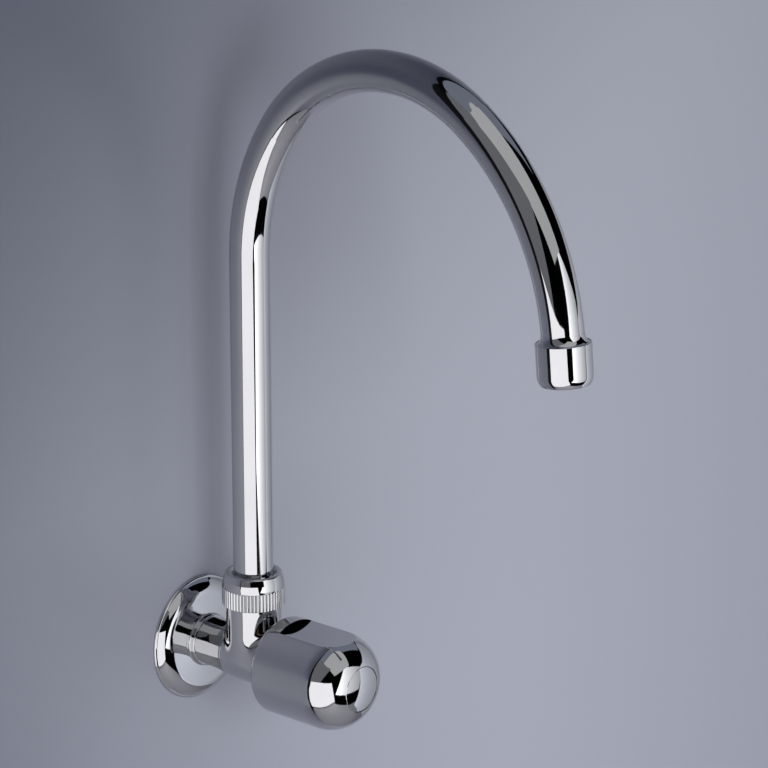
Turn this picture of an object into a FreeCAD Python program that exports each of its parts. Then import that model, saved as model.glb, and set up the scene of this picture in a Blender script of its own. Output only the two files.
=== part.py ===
import FreeCAD, Part
import math
import os
import re
from collections import namedtuple

import Sketcher
from FreeCAD import Vector

# Wall-mounted kitchen tap with a swivelling swan-neck spout.
# Frame: the origin is the centre of the inlet on the wall face, +Z is up and
# +Y runs into the wall, so the tap stands out along -Y.
# "out" is a distance from the wall along the valve axis, "up" a height above it,
# and "along" a distance down the outlet from the end of the pipe's last bend.

SIZES = {
    # inlet tail and wall flange
    "thread_radius": (10.478, "half inch pipe thread, outside radius"),
    "thread_reach": (17, "length of thread behind the wall face"),
    "thread_end": (3, "out, where the thread meets the tail"),
    "tail_radius": (11.8, "round tail that the flange slides on"),
    "flange_radius": (30.7, "rim of the flange"),
    "flange_rim": (1.7, "height of the rolled rim"),
    "flange_shoulder": (9.6, "radius of the rounded shoulder behind the rim"),
    "flange_face_radius": (21.6, "radius of the nearly flat face"),
    "flange_face_out": (6, "out of that face's edge"),
    "flange_collar_out": (6.6, "out, where the collar stands on the face"),
    "flange_depth": (9.6, "out of the collar's mouth"),
    "flange_wall": (1.1, "thickness of the pressed sheet"),
    # cast body
    "riser_offset": (37.59, "out of the riser axis"),
    "barrel_radius": (13.6, "outside radius of the barrel"),
    "barrel_end": (53, "out of the barrel's front face"),
    "inlet_bore": (7, "radius of the inlet waterway"),
    "seat_bore": (6, "radius of the hole in the valve seat"),
    "seat_lip": (7.5, "outside radius of the seat's raised lip"),
    "seat_out": (27, "out of the seat's face"),
    "chamber_radius": (10, "radius of the chamber round the seat"),
    "chamber_start": (24.6, "out of the chamber's floor"),
    "bonnet_bore": (10.5, "radius of the threaded mouth for the headpart"),
    "bonnet_bore_start": (46, "out, where that mouth starts"),
    "socket_radius": (13.25, "outside radius of the upright socket"),
    "socket_skirt": (25.8, "up, to the foot of the socket's thread"),
    "nut_thread_radius": (13.1, "outside radius of the socket's thread"),
    "socket_top": (35.5, "up, to the socket's mouth"),
    "passage_radius": (8.3, "radius of the passage from chamber to socket"),
    "socket_bore": (11.05, "radius of the bore the spout turns in"),
    "socket_floor": (14.5, "up, to the floor of that bore"),
    "belly_length": (18, "length of barrel behind the riser axis before its end is rounded"),
    "belly_flare": (0.5, "how far the rounded end opens to run out of the barrel's sides"),
    "tail_fillet": (1.5, "radius between tail and socket"),
    "crotch_fillet": (3, "radius between socket and barrel"),
    # knurled nut and the ring it holds
    "nut_bottom": (26.3, "up, underside of the nut"),
    "nut_radius": (15.09, "radius over the ridges"),
    "nut_plain_radius": (14.85, "radius of the plain band above them"),
    "ridge_top": (35.14, "up, end of the ridges"),
    "ridge_count": (52, "ridges round the nut"),
    "ridge_depth": (0.5, "depth between ridges"),
    "nut_shoulder": (38.95, "up, end of the bulged plain band"),
    "nut_shoulder_radius": (14.55, "radius there"),
    "nut_bulge": (16.3, "radius of the band's bulge"),
    "nut_edge": (41.4, "up, top of the sloping shoulder"),
    "nut_edge_radius": (13.75, "radius there"),
    "nut_top": (42.4, "up, top of the nut"),
    "nut_bore": (13.2, "radius of the nut's thread"),
    "nut_lip_radius": (12.6, "radius where the rounded edge meets the top"),
    "nut_mouth_radius": (11.3, "wide end of the countersink"),
    "pipe_hole": (9.75, "radius of the hole round the pipe"),
    "nut_ledge": (39, "up, ledge inside the nut"),
    "bearing_ring_height": (1.3, "thickness of the bearing ring"),
    # spout
    "pipe_radius": (9.5, "outside radius of the pipe"),
    "pipe_bore": (8.4, "inside radius of the pipe"),
    "pipe_foot": (30, "up, lower end of the pipe in its bush"),
    "straight_top": (195.53, "up, end of the straight riser"),
    "bend_one_radius": (111.07, "radius of the first bend"),
    "bend_one_turn": (34.45, "degrees turned by it"),
    "bend_two_radius": (79.98, "radius of the crown"),
    "bend_two_turn": (91.44, "degrees turned by it"),
    "bend_three_radius": (123.48, "radius of the last bend"),
    "bend_three_turn": (48.97, "degrees turned by it"),
    "pipe_end_run": (5.5, "straight pipe held by the outlet fitting"),
    "bush_bottom": (15, "up, lower end of the turning bush"),
    "bush_radius": (10.95, "outside radius of the bush"),
    "bush_bore": (7.5, "waterway through the bush"),
    "collar_bottom": (35.6, "up, underside of the bush's collar"),
    "collar_height": (2, "thickness of the collar"),
    "collar_radius": (12.7, "outside radius of the collar"),
    "ring_groove_radius": (9.3, "bottom of the seal grooves"),
    "ring_groove_width": (2.6, "width of the seal grooves"),
    "lower_ring_up": (20, "up, middle of the lower groove"),
    "upper_ring_up": (26, "up, middle of the upper groove"),
    "ring_outer_radius": (11.02, "outside radius of a fitted seal"),
    # outlet
    "outlet_collar_radius": (12.25, "collar of the outlet fitting"),
    "outlet_collar": (1.3, "thickness of the collar"),
    "outlet_fillet": (1.2, "fillet between pipe and collar"),
    "outlet_thread_radius": (10.9, "thread of the outlet fitting"),
    "outlet_thread_end": (9, "along, end of the fitting"),
    "aerator_radius": (12.32, "outside radius of the aerator"),
    "aerator_start": (1.4, "along, top of the aerator housing"),
    "aerator_curve_start": (14.65, "along, start of the rounded foot"),
    "aerator_curve": (4.24, "radius of the rounded foot"),
    "aerator_foot_radius": (10.3, "radius of the foot's flat edge"),
    "aerator_length": (18.25, "along, foot of the aerator"),
    "aerator_mouth": (9.4, "radius of the mouth"),
    "aerator_bore": (10.35, "radius of the bore for the insert"),
    "aerator_thread_end": (9.4, "along, end of the housing's thread"),
    "aerator_ledge": (16.6, "along, ledge that the screen rests on"),
    "insert_top": (11, "along, top of the insert"),
    "insert_radius": (10.3, "outside radius of insert and screen"),
    "screen_thickness": (0.6, "thickness of the wire screen"),
    "insert_plate": (1.5, "thickness of the perforated plate"),
    "insert_hole": (0.85, "radius of the holes in the plate"),
    "outer_hole_count": (12, "holes in the outer ring"),
    "inner_hole_count": (6, "holes in the inner ring"),
    "blade_count": (6, "blades that straighten the stream"),
    # headpart
    "guide_start": (38.5, "out, inner end of the headpart"),
    "guide_radius": (8.2, "outside radius of its guide"),
    "bonnet_thread_start": (46.6, "out, start of the headpart's thread"),
    "bonnet_thread": (10.4, "outside radius of that thread"),
    "bonnet_hex_start": (54, "out, underside of the hexagon"),
    "bonnet_hex_end": (61.5, "out, top of the hexagon"),
    "bonnet_hex": (24, "spanner size of the headpart"),
    "bonnet_neck": (8, "outside radius of the neck"),
    "bonnet_top": (72, "out, end of the neck"),
    "guide_hex": (12.1, "hexagonal bore that keeps the piston from turning"),
    "collar_room_start": (53.6, "out, room for the spindle's collar"),
    "collar_room_end": (55.6, "out, shoulder that the collar bears on"),
    "collar_room": (6.2, "radius of that room"),
    "spindle_bore": (4.55, "radius of the bore round the spindle"),
    "gasket_inner": (10.5, "inside radius of the headpart's gasket"),
    "gasket_outer": (13.2, "outside radius of it"),
    # spindle
    "screw_thread": (4.4, "radius of the spindle's lifting thread"),
    "spindle_start": (41.5, "out, inner end of the spindle"),
    "spindle_collar": (6, "radius of the collar"),
    "spindle_collar_start": (53.8, "out, inner face of the collar"),
    "spindle_collar_end": (55.5, "out, bearing face of the collar"),
    "spindle_radius": (4.5, "radius of the shaft"),
    "seal_groove_radius": (3.2, "bottom of the seal grooves"),
    "seal_groove_width": (2.0, "width of the seal grooves"),
    "inner_seal_out": (60, "out, middle of the inner groove"),
    "outer_seal_out": (66, "out, middle of the outer groove"),
    "seal_outer_radius": (4.53, "outside radius of a fitted seal"),
    "clip_groove_start": (72.95, "out, start of the clip's groove"),
    "clip_groove_width": (1.1, "width of the clip's groove"),
    "clip_groove_radius": (3.9, "bottom of the clip's groove"),
    "clip_thickness": (1, "thickness of the clip"),
    "clip_radius": (6, "outside radius of the clip"),
    "clip_span": (300, "degrees that the clip goes round"),
    "thrust_washer_start": (72.05, "out, inner face of the thrust washer"),
    "thrust_washer_thickness": (0.9, "thickness of it"),
    "thrust_washer_radius": (7, "outside radius of it"),
    "spline_start": (76, "out, start of the spline"),
    "spline_end": (88, "out, end of the spindle"),
    "spline_tip": (4.1, "radius over the teeth"),
    "spline_root": (3.75, "radius between the teeth"),
    "spline_count": (20, "teeth round the spline"),
    "spline_clearance": (0.03, "gap between spindle and knob"),
    "tapped_hole": (2.1, "radius of the screw's hole"),
    # piston
    "washer_front": (27.05, "out, face of the seat washer when shut"),
    "washer_back": (30, "out, back of the seat washer"),
    "washer_radius": (7.6, "radius of the seat washer"),
    "cup_radius": (8.6, "outside radius of the piston's cup"),
    "cup_front": (28.4, "out, rim of the cup"),
    "cup_back": (33, "out, back of the cup"),
    "piston_hex": (12, "across flats of the piston's shank"),
    "piston_end": (48, "out, end of the shank"),
    "piston_bore": (4.45, "radius of the piston's thread"),
    "piston_bore_start": (36, "out, bottom of that thread"),
    "stud_radius": (2, "radius of the stud through the washer"),
    "stud_front": (24.2, "out, end of the stud"),
    "washer_nut_hex": (7, "spanner size of the washer's nut"),
    "washer_nut_height": (2.4, "thickness of that nut"),
    # knob
    "knob_radius": (23.5, "outside radius of the knob"),
    "knob_rear": (55.52, "out, rear edge of the knob"),
    "knob_rear_round": (3, "radius of the rear edge"),
    "dome_start": (88.3, "out, where the dome starts"),
    "dome_radius": (18.6, "radius of the dome's arc"),
    "cap_seat_radius": (11.05, "radius of the recess for the cap"),
    "cap_seat_out": (102.4, "out, floor of that recess"),
    "flat_start": (64.47, "out, start of the flats"),
    "flat_height": (20.61, "height of the flats over the axis"),
    "hollow_mouth": (20.6, "radius of the hollow at the rear"),
    "hollow_mouth_end": (62.5, "out, where the hollow narrows"),
    "hollow_radius": (18.2, "radius of the hollow between the flats"),
    "hollow_end": (87, "out, end of the hollow"),
    "boss_radius": (8, "radius of the splined boss"),
    "boss_start": (76.3, "out, rear end of the boss"),
    "web_front": (92, "out, face that the screw clamps"),
    "well_radius": (9.6, "radius of the screw's well"),
    "screw_hole": (2.7, "radius of the hole for the screw"),
    "screw_radius": (2.05, "radius of the screw's shank"),
    "screw_start": (78, "out, tip of the screw"),
    "screw_head": (4.6, "radius of the screw's head"),
    "screw_head_height": (3, "height of the screw's head"),
    "screw_slot": (1.2, "width of the screw's slot"),
    "screw_slot_depth": (1.4, "depth of the slot"),
    # index cap
    "cap_radius": (10.9, "radius of the cap"),
    "cap_edge": (105.75, "out, edge of the cap's dome"),
    "cap_crown": (1.5, "height of the cap's dome"),
    "cap_skirt": (9.6, "outside radius of the skirt"),
    "cap_skirt_wall": (1.3, "thickness of the skirt"),
    "cap_skirt_start": (98, "out, rear end of the skirt"),
}

SHEET = "Sizes"
OUTWARD = -1     # an arc that rounds the metal
INWARD = 1       # an arc that hollows the metal

Corner = namedtuple("Corner", "across along bend side", defaults=(None, OUTWARD))


# ---------------------------------------------------------------- drawing aids

def make_sheet(doc):
    """Write the driving dimensions, one row each: value, then meaning."""
    sheet = doc.addObject("Spreadsheet::Sheet", SHEET)
    for row, (alias, (value, meaning)) in enumerate(SIZES.items(), start=1):
        sheet.set(f"A{row}", str(value))
        sheet.setAlias(f"A{row}", alias)
        sheet.set(f"B{row}", meaning)
    doc.recompute()


def linked(formula):
    """Turn the size names in a formula into references to the sheet."""
    def reference(match):
        word = match.group(0)
        return f"{SHEET}.{word}" if word in SIZES else word
    return re.sub(r"[a-z][a-z_]*", reference, str(formula))


def number(doc, formula):
    """Value of a formula of size names."""
    value = doc.getObject(SHEET).evalExpression(linked(formula))
    return float(getattr(value, "Value", value))


def bind(thing, target, formula):
    """Make a property of an object follow a formula of size names."""
    thing.setExpression(target, linked(formula))


def new_body(doc, label):
    """Empty body whose label names the sub-part."""
    body = doc.addObject("PartDesign::Body", label)
    body.Label = label
    return body


def sketch_on(body, name, role, lift=None):
    """Sketch on one of the body's own origin planes, lifted by a formula."""
    sketch = body.newObject("Sketcher::SketchObject", name)
    plane = next(item for item in body.Origin.OriginFeatures if item.Role == role)
    sketch.AttachmentSupport = [(plane, "")]
    sketch.MapMode = "FlatFace"
    if lift is not None:
        bind(sketch, "AttachmentOffset.Base.z", lift)
    return sketch


def constrain(sketch, kind, *values):
    """Add a constraint whose last value is a formula of size names."""
    *places, formula = values
    value = number(sketch.Document, formula)
    index = sketch.addConstraint(Sketcher.Constraint(kind, *places, value))
    bind(sketch, f"Constraints[{index}]", formula)


def edge_between(start, end, bend, side):
    """Straight line, or an arc of radius bend that bulges to one side."""
    if bend is None:
        return Part.LineSegment(start, end)
    chord = end - start
    half = chord.Length / 2
    sagitta = bend - math.sqrt(bend * bend - half * half)
    left = Vector(-chord.y, chord.x, 0).normalize()
    return Part.Arc(start, (start + end) * 0.5 + left * (side * sagitta), end)


def draw_outline(sketch, corners, closed=True):
    """Draw a chain of lines and arcs, each corner bound to its two formulas."""
    doc = sketch.Document
    points = [Vector(number(doc, c.across), number(doc, c.along), 0) for c in corners]
    count = len(corners) if closed else len(corners) - 1
    ends = []
    for i in range(count):
        corner = corners[i]
        bend = None if corner.bend is None else number(doc, corner.bend)
        edge = edge_between(points[i], points[(i + 1) % len(points)], bend, corner.side)
        index = sketch.addGeometry(edge, False)
        forward = (sketch.getPoint(index, 1) - points[i]).Length < 1e-6
        ends.append((index, 1, 2) if forward else (index, 2, 1))
    joins = range(count) if closed else range(count - 1)
    for i in joins:
        index, _, last = ends[i]
        following, first, _ = ends[(i + 1) % count]
        sketch.addConstraint(Sketcher.Constraint("Coincident", index, last, following, first))
    for (index, first, _), corner in zip(ends, corners):
        constrain(sketch, "DistanceX", index, first, corner.across)
        constrain(sketch, "DistanceY", index, first, corner.along)
        if corner.bend is not None:
            constrain(sketch, "Radius", index, corner.bend)
    if not closed:
        index, _, last = ends[-1]
        constrain(sketch, "DistanceX", index, last, corners[-1].across)
        constrain(sketch, "DistanceY", index, last, corners[-1].along)


def draw_circle(sketch, across, along, radius):
    """Circle bound to the formulas of its centre and radius."""
    doc = sketch.Document
    centre = Vector(number(doc, across), number(doc, along), 0)
    circle = Part.Circle(centre, Vector(0, 0, 1), number(doc, radius))
    index = sketch.addGeometry(circle, False)
    constrain(sketch, "DistanceX", index, 3, across)
    constrain(sketch, "DistanceY", index, 3, along)
    constrain(sketch, "Radius", index, radius)


def polar(radius, angle):
    """Corner given by a radius and an angle in degrees."""
    return Corner(f"{radius} * cos({angle})", f"{radius} * sin({angle})")


def draw_hexagon(sketch, across_flats):
    """Hexagon about the sketch's origin, with two flats level."""
    draw_outline(sketch, [polar(f"{across_flats} / sqrt(3)", 60 * i) for i in range(6)])


def draw_box(sketch, left, low, right, high):
    """Rectangle bound to the formulas of its sides."""
    draw_outline(sketch, [Corner(left, low), Corner(right, low),
                          Corner(right, high), Corner(left, high)])


def turned(body, name, corners, cut=False, turn=360):
    """Turn an outline of (radius, height) about the body's own Z axis."""
    sketch = sketch_on(body, f"{name}_outline", "XZ_Plane")
    draw_outline(sketch, corners)
    kind = "PartDesign::Groove" if cut else "PartDesign::Revolution"
    feature = body.newObject(kind, name)
    feature.Profile = sketch
    feature.ReferenceAxis = (sketch, ["V_Axis"])
    bind(feature, "Angle", turn)
    body.Document.recompute()
    return feature


def padded(body, name, sketch, length, reverse=False):
    """Add the sketch's section over a length."""
    pad = body.newObject("PartDesign::Pad", name)
    pad.Profile = sketch
    bind(pad, "Length", length)
    pad.Reversed = reverse
    body.Document.recompute()
    return pad


def pocketed(body, name, sketch, length, reverse=False):
    """Cut the sketch's section over a length, and make sure that it cut."""
    before = body.Shape.Volume
    pocket = body.newObject("PartDesign::Pocket", name)
    pocket.Profile = sketch
    bind(pocket, "Length", length)
    pocket.Reversed = reverse
    body.Document.recompute()
    if body.Shape.Volume >= before - 1e-6:
        raise RuntimeError(f"{name} in {body.Label} cuts nothing")
    return pocket


def rounded(body, name, base, radius, round_face):
    """Fillet the curved lines where other faces cross the face of one radius."""
    wanted = number(body.Document, round_face)
    names = []
    for i, edge in enumerate(base.Shape.Edges, start=1):
        surfaces = [face.Surface for face in base.Shape.ancestorsOfType(edge, Part.Face)]
        crosses = any(isinstance(surface, Part.Cylinder) and
                      abs(surface.Radius - wanted) < 1e-6 for surface in surfaces)
        if crosses and isinstance(edge.Curve, Part.BSplineCurve):
            names.append(f"Edge{i}")
    fillet = body.newObject("PartDesign::Fillet", name)
    fillet.Base = (base, names)
    bind(fillet, "Radius", radius)
    body.Document.recompute()
    return fillet


def repeated(body, name, feature, count):
    """Repeat a feature evenly round the body's own Z axis."""
    pattern = body.newObject("PartDesign::PolarPattern", name)
    pattern.Originals = [feature]
    axis = next(item for item in body.Origin.OriginFeatures if item.Role == "Z_Axis")
    pattern.Axis = (axis, [""])
    pattern.Angle = 360
    bind(pattern, "Occurrences", count)
    body.Tip = pattern
    body.Document.recompute()
    return pattern


def lay_on_valve_axis(thing):
    """Turn a piece so that its own Z axis runs out from the wall."""
    thing.Placement = FreeCAD.Placement(Vector(), FreeCAD.Rotation(Vector(1, 0, 0), 90))


def stand_on_riser(thing):
    """Put a piece's own Z axis on the riser's axis."""
    bind(thing, "Placement.Base.y", "-riser_offset")


# ------------------------------------------------------------- the spout's line

BENDS = ("bend_one", "bend_two", "bend_three")


def turned_after(count):
    """Formula of the angle that the pipe has turned after some bends."""
    return " + ".join(f"{bend}_turn" for bend in BENDS[:count]) or "0"


def pipe_point(count):
    """Formulas of the point that ends a number of bends, from the riser's foot."""
    forward = "0"
    up = "straight_top"
    for i, bend in enumerate(BENDS[:count]):
        before = turned_after(i)
        after = turned_after(i + 1)
        forward += f" - {bend}_radius * (cos({before}) - cos({after}))"
        up += f" + {bend}_radius * (sin({after}) - sin({before}))"
    return forward, up


def hang_on_outlet(thing):
    """Put a piece's own Z axis on the outlet, pointing down the stream."""
    forward, up = pipe_point(len(BENDS))
    thing.Placement = FreeCAD.Placement(Vector(), FreeCAD.Rotation(Vector(1, 0, 0), 90))
    bind(thing, "Placement.Base.y", f"{forward} - riser_offset")
    bind(thing, "Placement.Base.z", up)
    bind(thing, "Placement.Rotation.Angle", turned_after(len(BENDS)))


# ------------------------------------------------------------------ fixed pieces

def make_valve_body(doc):
    """Cast body: a tail and a barrel that meet in an upright round socket."""
    body = new_body(doc, "valve_body")
    lay_on_valve_axis(body)
    turned(body, "barrel", [
        Corner("0", "riser_offset - belly_length"),
        Corner("barrel_radius", "riser_offset - belly_length"),
        Corner("barrel_radius", "barrel_end - 0.6"),
        Corner("barrel_radius - 0.6", "barrel_end"),
        Corner("0", "barrel_end"),
    ])
    skirt = sketch_on(body, "socket_circle", "XZ_Plane")
    draw_circle(skirt, "0", "riser_offset", "socket_radius")
    socket = padded(body, "socket", skirt, "socket_skirt", reverse=True)
    rounded(body, "crotch", socket, "crotch_fillet", "barrel_radius")
    round_the_belly(body)
    tail = turned(body, "tail", [
        Corner("0", "-thread_reach"),
        Corner("thread_radius - 0.8", "-thread_reach"),
        Corner("thread_radius", "0.8 - thread_reach"),
        Corner("thread_radius", "thread_end"),
        Corner("tail_radius", "thread_end"),
        Corner("tail_radius", "riser_offset - 4"),
        Corner("0", "riser_offset - 4"),
    ])
    rounded(body, "tail_root", tail, "tail_fillet", "tail_radius")
    thread = sketch_on(body, "thread_circle", "XZ_Plane", "-socket_skirt")
    draw_circle(thread, "0", "riser_offset", "nut_thread_radius")
    padded(body, "socket_thread", thread, "socket_top - socket_skirt", reverse=True)
    turned(body, "waterway", [
        Corner("0", "-thread_reach"),
        Corner("inlet_bore", "-thread_reach"),
        Corner("inlet_bore", "thread_reach"),
        Corner("seat_bore", "thread_reach + 2"),
        Corner("seat_bore", "seat_out"),
        Corner("seat_lip", "seat_out"),
        Corner("seat_lip", "chamber_start"),
        Corner("chamber_radius", "chamber_start"),
        Corner("chamber_radius", "bonnet_bore_start"),
        Corner("bonnet_bore", "bonnet_bore_start"),
        Corner("bonnet_bore", "barrel_end"),
        Corner("0", "barrel_end"),
    ], cut=True)
    passage = sketch_on(body, "passage_circle", "XZ_Plane")
    draw_circle(passage, "0", "riser_offset", "passage_radius")
    pocketed(body, "passage", passage, "socket_top")
    bore = sketch_on(body, "bore_circle", "XZ_Plane", "-socket_floor")
    draw_circle(bore, "0", "riser_offset", "socket_bore")
    pocketed(body, "spout_bore", bore, "socket_top - socket_floor")
    return body


def round_the_belly(body):
    """Cut the barrel's back end round in plan, flush with the socket above it."""
    outline = sketch_on(body, "belly_outline", "XZ_Plane", "barrel_radius + 1")
    side = "(socket_radius + 3)"
    back = "riser_offset - belly_length - 1"
    draw_outline(outline, [
        Corner("socket_radius + belly_flare", "riser_offset + 5"),
        Corner("socket_radius", "riser_offset", "socket_radius", INWARD),
        Corner("0", "riser_offset - socket_radius", "socket_radius", INWARD),
        Corner("-1 * socket_radius", "riser_offset"),
        Corner("-1 * (socket_radius + belly_flare)", "riser_offset + 5"),
        Corner(f"-1 * {side}", "riser_offset + 5"),
        Corner(f"-1 * {side}", back),
        Corner(side, back),
        Corner(side, "riser_offset + 5"),
    ])
    pocketed(body, "belly", outline, "barrel_radius + socket_skirt + 2")


def make_wall_flange(doc):
    """Pressed flange: rim, rounded shoulder, flat face and a collar round the tail."""
    body = new_body(doc, "wall_flange")
    lay_on_valve_axis(body)
    turned(body, "flange", [
        Corner("flange_radius - 1.8", "0"),
        Corner("flange_radius", "0"),
        Corner("flange_radius", "flange_rim - 1.1", "1.1", OUTWARD),
        Corner("flange_radius - 1.1", "flange_rim", "flange_shoulder", OUTWARD),
        Corner("flange_face_radius", "flange_face_out"),
        Corner("tail_radius + 1.5", "flange_collar_out", "0.7", INWARD),
        Corner("tail_radius + 0.8", "flange_collar_out + 0.7"),
        Corner("tail_radius + 0.8", "flange_depth - 0.7", "0.7", OUTWARD),
        Corner("tail_radius + 0.1", "flange_depth"),
        Corner("tail_radius", "flange_depth"),
        Corner("tail_radius", "flange_collar_out - flange_wall"),
        Corner("flange_face_radius", "flange_face_out - flange_wall",
               "flange_shoulder - flange_wall", INWARD),
        Corner("flange_radius - 2.4", "flange_rim - 0.4"),
    ])
    return body


def draw_ridge_gap(sketch, tip, depth, count):
    """One gap of a ring of rounded ridges, on the X axis and open to the outside."""
    half_turn = f"180 / {count}"
    side = f"{tip} * sin({half_turn})"
    out = f"{tip} * cos({half_turn})"
    crest = f"{depth} * 2.2"
    draw_outline(sketch, [
        Corner(f"{tip} - {depth}", "0", crest, INWARD),
        Corner(out, f"-1 * {side}"),
        Corner(f"{tip} + 1", f"-1 * {side}"),
        Corner(f"{tip} + 1", side),
        Corner(out, side, crest, INWARD),
    ])


def make_spout_nut(doc):
    """Nut that holds the spout down: ridged band, rounded shoulder, countersunk top."""
    body = new_body(doc, "spout_nut")
    stand_on_riser(body)
    turned(body, "nut", [
        Corner("nut_bore", "nut_bottom"),
        Corner("nut_radius - 0.5", "nut_bottom"),
        Corner("nut_radius", "nut_bottom + 0.4"),
        Corner("nut_radius", "ridge_top - 0.3"),
        Corner("nut_plain_radius", "ridge_top", "nut_bulge", OUTWARD),
        Corner("nut_shoulder_radius", "nut_shoulder"),
        Corner("nut_edge_radius", "nut_edge", "1.2", OUTWARD),
        Corner("nut_lip_radius", "nut_top"),
        Corner("nut_mouth_radius", "nut_top"),
        Corner("pipe_hole", "nut_ledge + 1.2"),
        Corner("pipe_hole", "nut_ledge"),
        Corner("nut_bore", "nut_ledge"),
    ])
    gap = sketch_on(body, "ridge_gap", "XY_Plane", "nut_bottom")
    draw_ridge_gap(gap, "nut_radius", "ridge_depth", "ridge_count")
    cut = pocketed(body, "first_gap", gap, "ridge_top - nut_bottom", reverse=True)
    repeated(body, "ridges", cut, "ridge_count")
    return body


def make_bearing_ring(doc):
    """Plastic ring between the nut's ledge and the spout's collar."""
    body = new_body(doc, "spout_bearing_ring")
    stand_on_riser(body)
    turned(body, "ring", [
        Corner("pipe_hole", "nut_ledge - bearing_ring_height"),
        Corner("nut_bore - 0.2", "nut_ledge - bearing_ring_height"),
        Corner("nut_bore - 0.2", "nut_ledge"),
        Corner("pipe_hole", "nut_ledge"),
    ])
    return body


def make_bonnet(doc):
    """Headpart housing: hexagonal guide, thread, spanner hexagon and neck."""
    body = new_body(doc, "bonnet")
    lay_on_valve_axis(body)
    turned(body, "turned_form", [
        Corner("0", "guide_start"),
        Corner("guide_radius", "guide_start"),
        Corner("guide_radius", "bonnet_thread_start"),
        Corner("bonnet_thread - 0.7", "bonnet_thread_start"),
        Corner("bonnet_thread", "bonnet_thread_start + 0.7"),
        Corner("bonnet_thread", "bonnet_hex_start"),
        Corner("bonnet_hex / 2", "bonnet_hex_start"),
        Corner("bonnet_hex / 2", "bonnet_hex_end"),
        Corner("bonnet_neck", "bonnet_hex_end"),
        Corner("bonnet_neck", "bonnet_top - 0.5"),
        Corner("bonnet_neck - 0.5", "bonnet_top"),
        Corner("0", "bonnet_top"),
    ])
    hexagon = sketch_on(body, "hexagon_outline", "XY_Plane", "bonnet_hex_start")
    draw_hexagon(hexagon, "bonnet_hex")
    padded(body, "hexagon", hexagon, "bonnet_hex_end - bonnet_hex_start")
    turned(body, "spindle_room", [
        Corner("0", "collar_room_start"),
        Corner("collar_room", "collar_room_start"),
        Corner("collar_room", "collar_room_end"),
        Corner("spindle_bore", "collar_room_end"),
        Corner("spindle_bore", "bonnet_top"),
        Corner("0", "bonnet_top"),
    ], cut=True)
    guide = sketch_on(body, "guide_outline", "XY_Plane", "guide_start")
    draw_hexagon(guide, "guide_hex")
    pocketed(body, "guide", guide, "collar_room_start - guide_start", reverse=True)
    return body


def make_ring(doc, label, inner, outer, start, end):
    """Plain flat ring on the valve axis."""
    body = new_body(doc, label)
    lay_on_valve_axis(body)
    turned(body, "ring", [Corner(inner, start), Corner(outer, start),
                          Corner(outer, end), Corner(inner, end)])
    return body


# ------------------------------------------------------------------ spout pieces

def make_spout_pipe(doc):
    """Swan-neck pipe: straight riser, three bends that run into each other, short end."""
    body = new_body(doc, "spout_pipe")
    stand_on_riser(body)
    turn = turned_after(len(BENDS))
    forward, up = pipe_point(len(BENDS))
    stops = [Corner("0", "pipe_foot")]
    for i, bend in enumerate(BENDS):
        stops.append(Corner(*pipe_point(i), f"{bend}_radius", OUTWARD))
    stops.append(Corner(forward, up))
    stops.append(Corner(f"{forward} - pipe_end_run * sin({turn})",
                        f"{up} + pipe_end_run * cos({turn})"))
    path = sketch_on(body, "centre_line", "YZ_Plane")
    draw_outline(path, stops, closed=False)
    section = sketch_on(body, "section", "XY_Plane", "pipe_foot")
    draw_circle(section, "0", "0", "pipe_radius")
    draw_circle(section, "0", "0", "pipe_bore")
    doc.recompute()
    pipe = body.newObject("PartDesign::AdditivePipe", "pipe")
    pipe.Profile = section
    pipe.Spine = (path, [f"Edge{i + 1}" for i in range(len(path.Shape.Edges))])
    doc.recompute()
    return body


def seal_groove(edge, root, middle, width):
    """Four corners of a seal groove in a turned outline, in the order of the outline."""
    start = f"{middle} - {width} / 2"
    end = f"{middle} + {width} / 2"
    return [Corner(edge, start), Corner(root, start), Corner(root, end), Corner(edge, end)]


def make_spout_bush(doc):
    """Bush brazed to the pipe's foot: it turns in the socket on two seals."""
    body = new_body(doc, "spout_bush")
    stand_on_riser(body)
    turned(body, "bush", [
        Corner("bush_bore", "bush_bottom"),
        Corner("bush_radius - 0.5", "bush_bottom"),
        Corner("bush_radius", "bush_bottom + 0.5"),
        *seal_groove("bush_radius", "ring_groove_radius", "lower_ring_up", "ring_groove_width"),
        *seal_groove("bush_radius", "ring_groove_radius", "upper_ring_up", "ring_groove_width"),
        Corner("bush_radius", "collar_bottom"),
        Corner("collar_radius", "collar_bottom"),
        Corner("collar_radius", "collar_bottom + collar_height"),
        Corner("pipe_radius", "collar_bottom + collar_height"),
        Corner("pipe_radius", "pipe_foot"),
        Corner("bush_bore", "pipe_foot"),
    ])
    return body


def make_seal(doc, label, inner, outer, middle, place):
    """Rubber ring seated in its groove, its round section drawn with eight sides."""
    body = new_body(doc, label)
    place(body)
    centre = f"({outer} + {inner}) / 2"
    reach = f"({outer} - {inner}) / (2 * cos(22.5))"
    turned(body, "ring", [
        Corner(f"{centre} + {reach} * cos({angle})", f"{middle} + {reach} * sin({angle})")
        for angle in (22.5 + 45 * i for i in range(8))
    ])
    return body


def make_spout_seal(doc, label, middle):
    """Seal of the turning bush."""
    return make_seal(doc, label, "ring_groove_radius", "ring_outer_radius", middle,
                     stand_on_riser)


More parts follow.
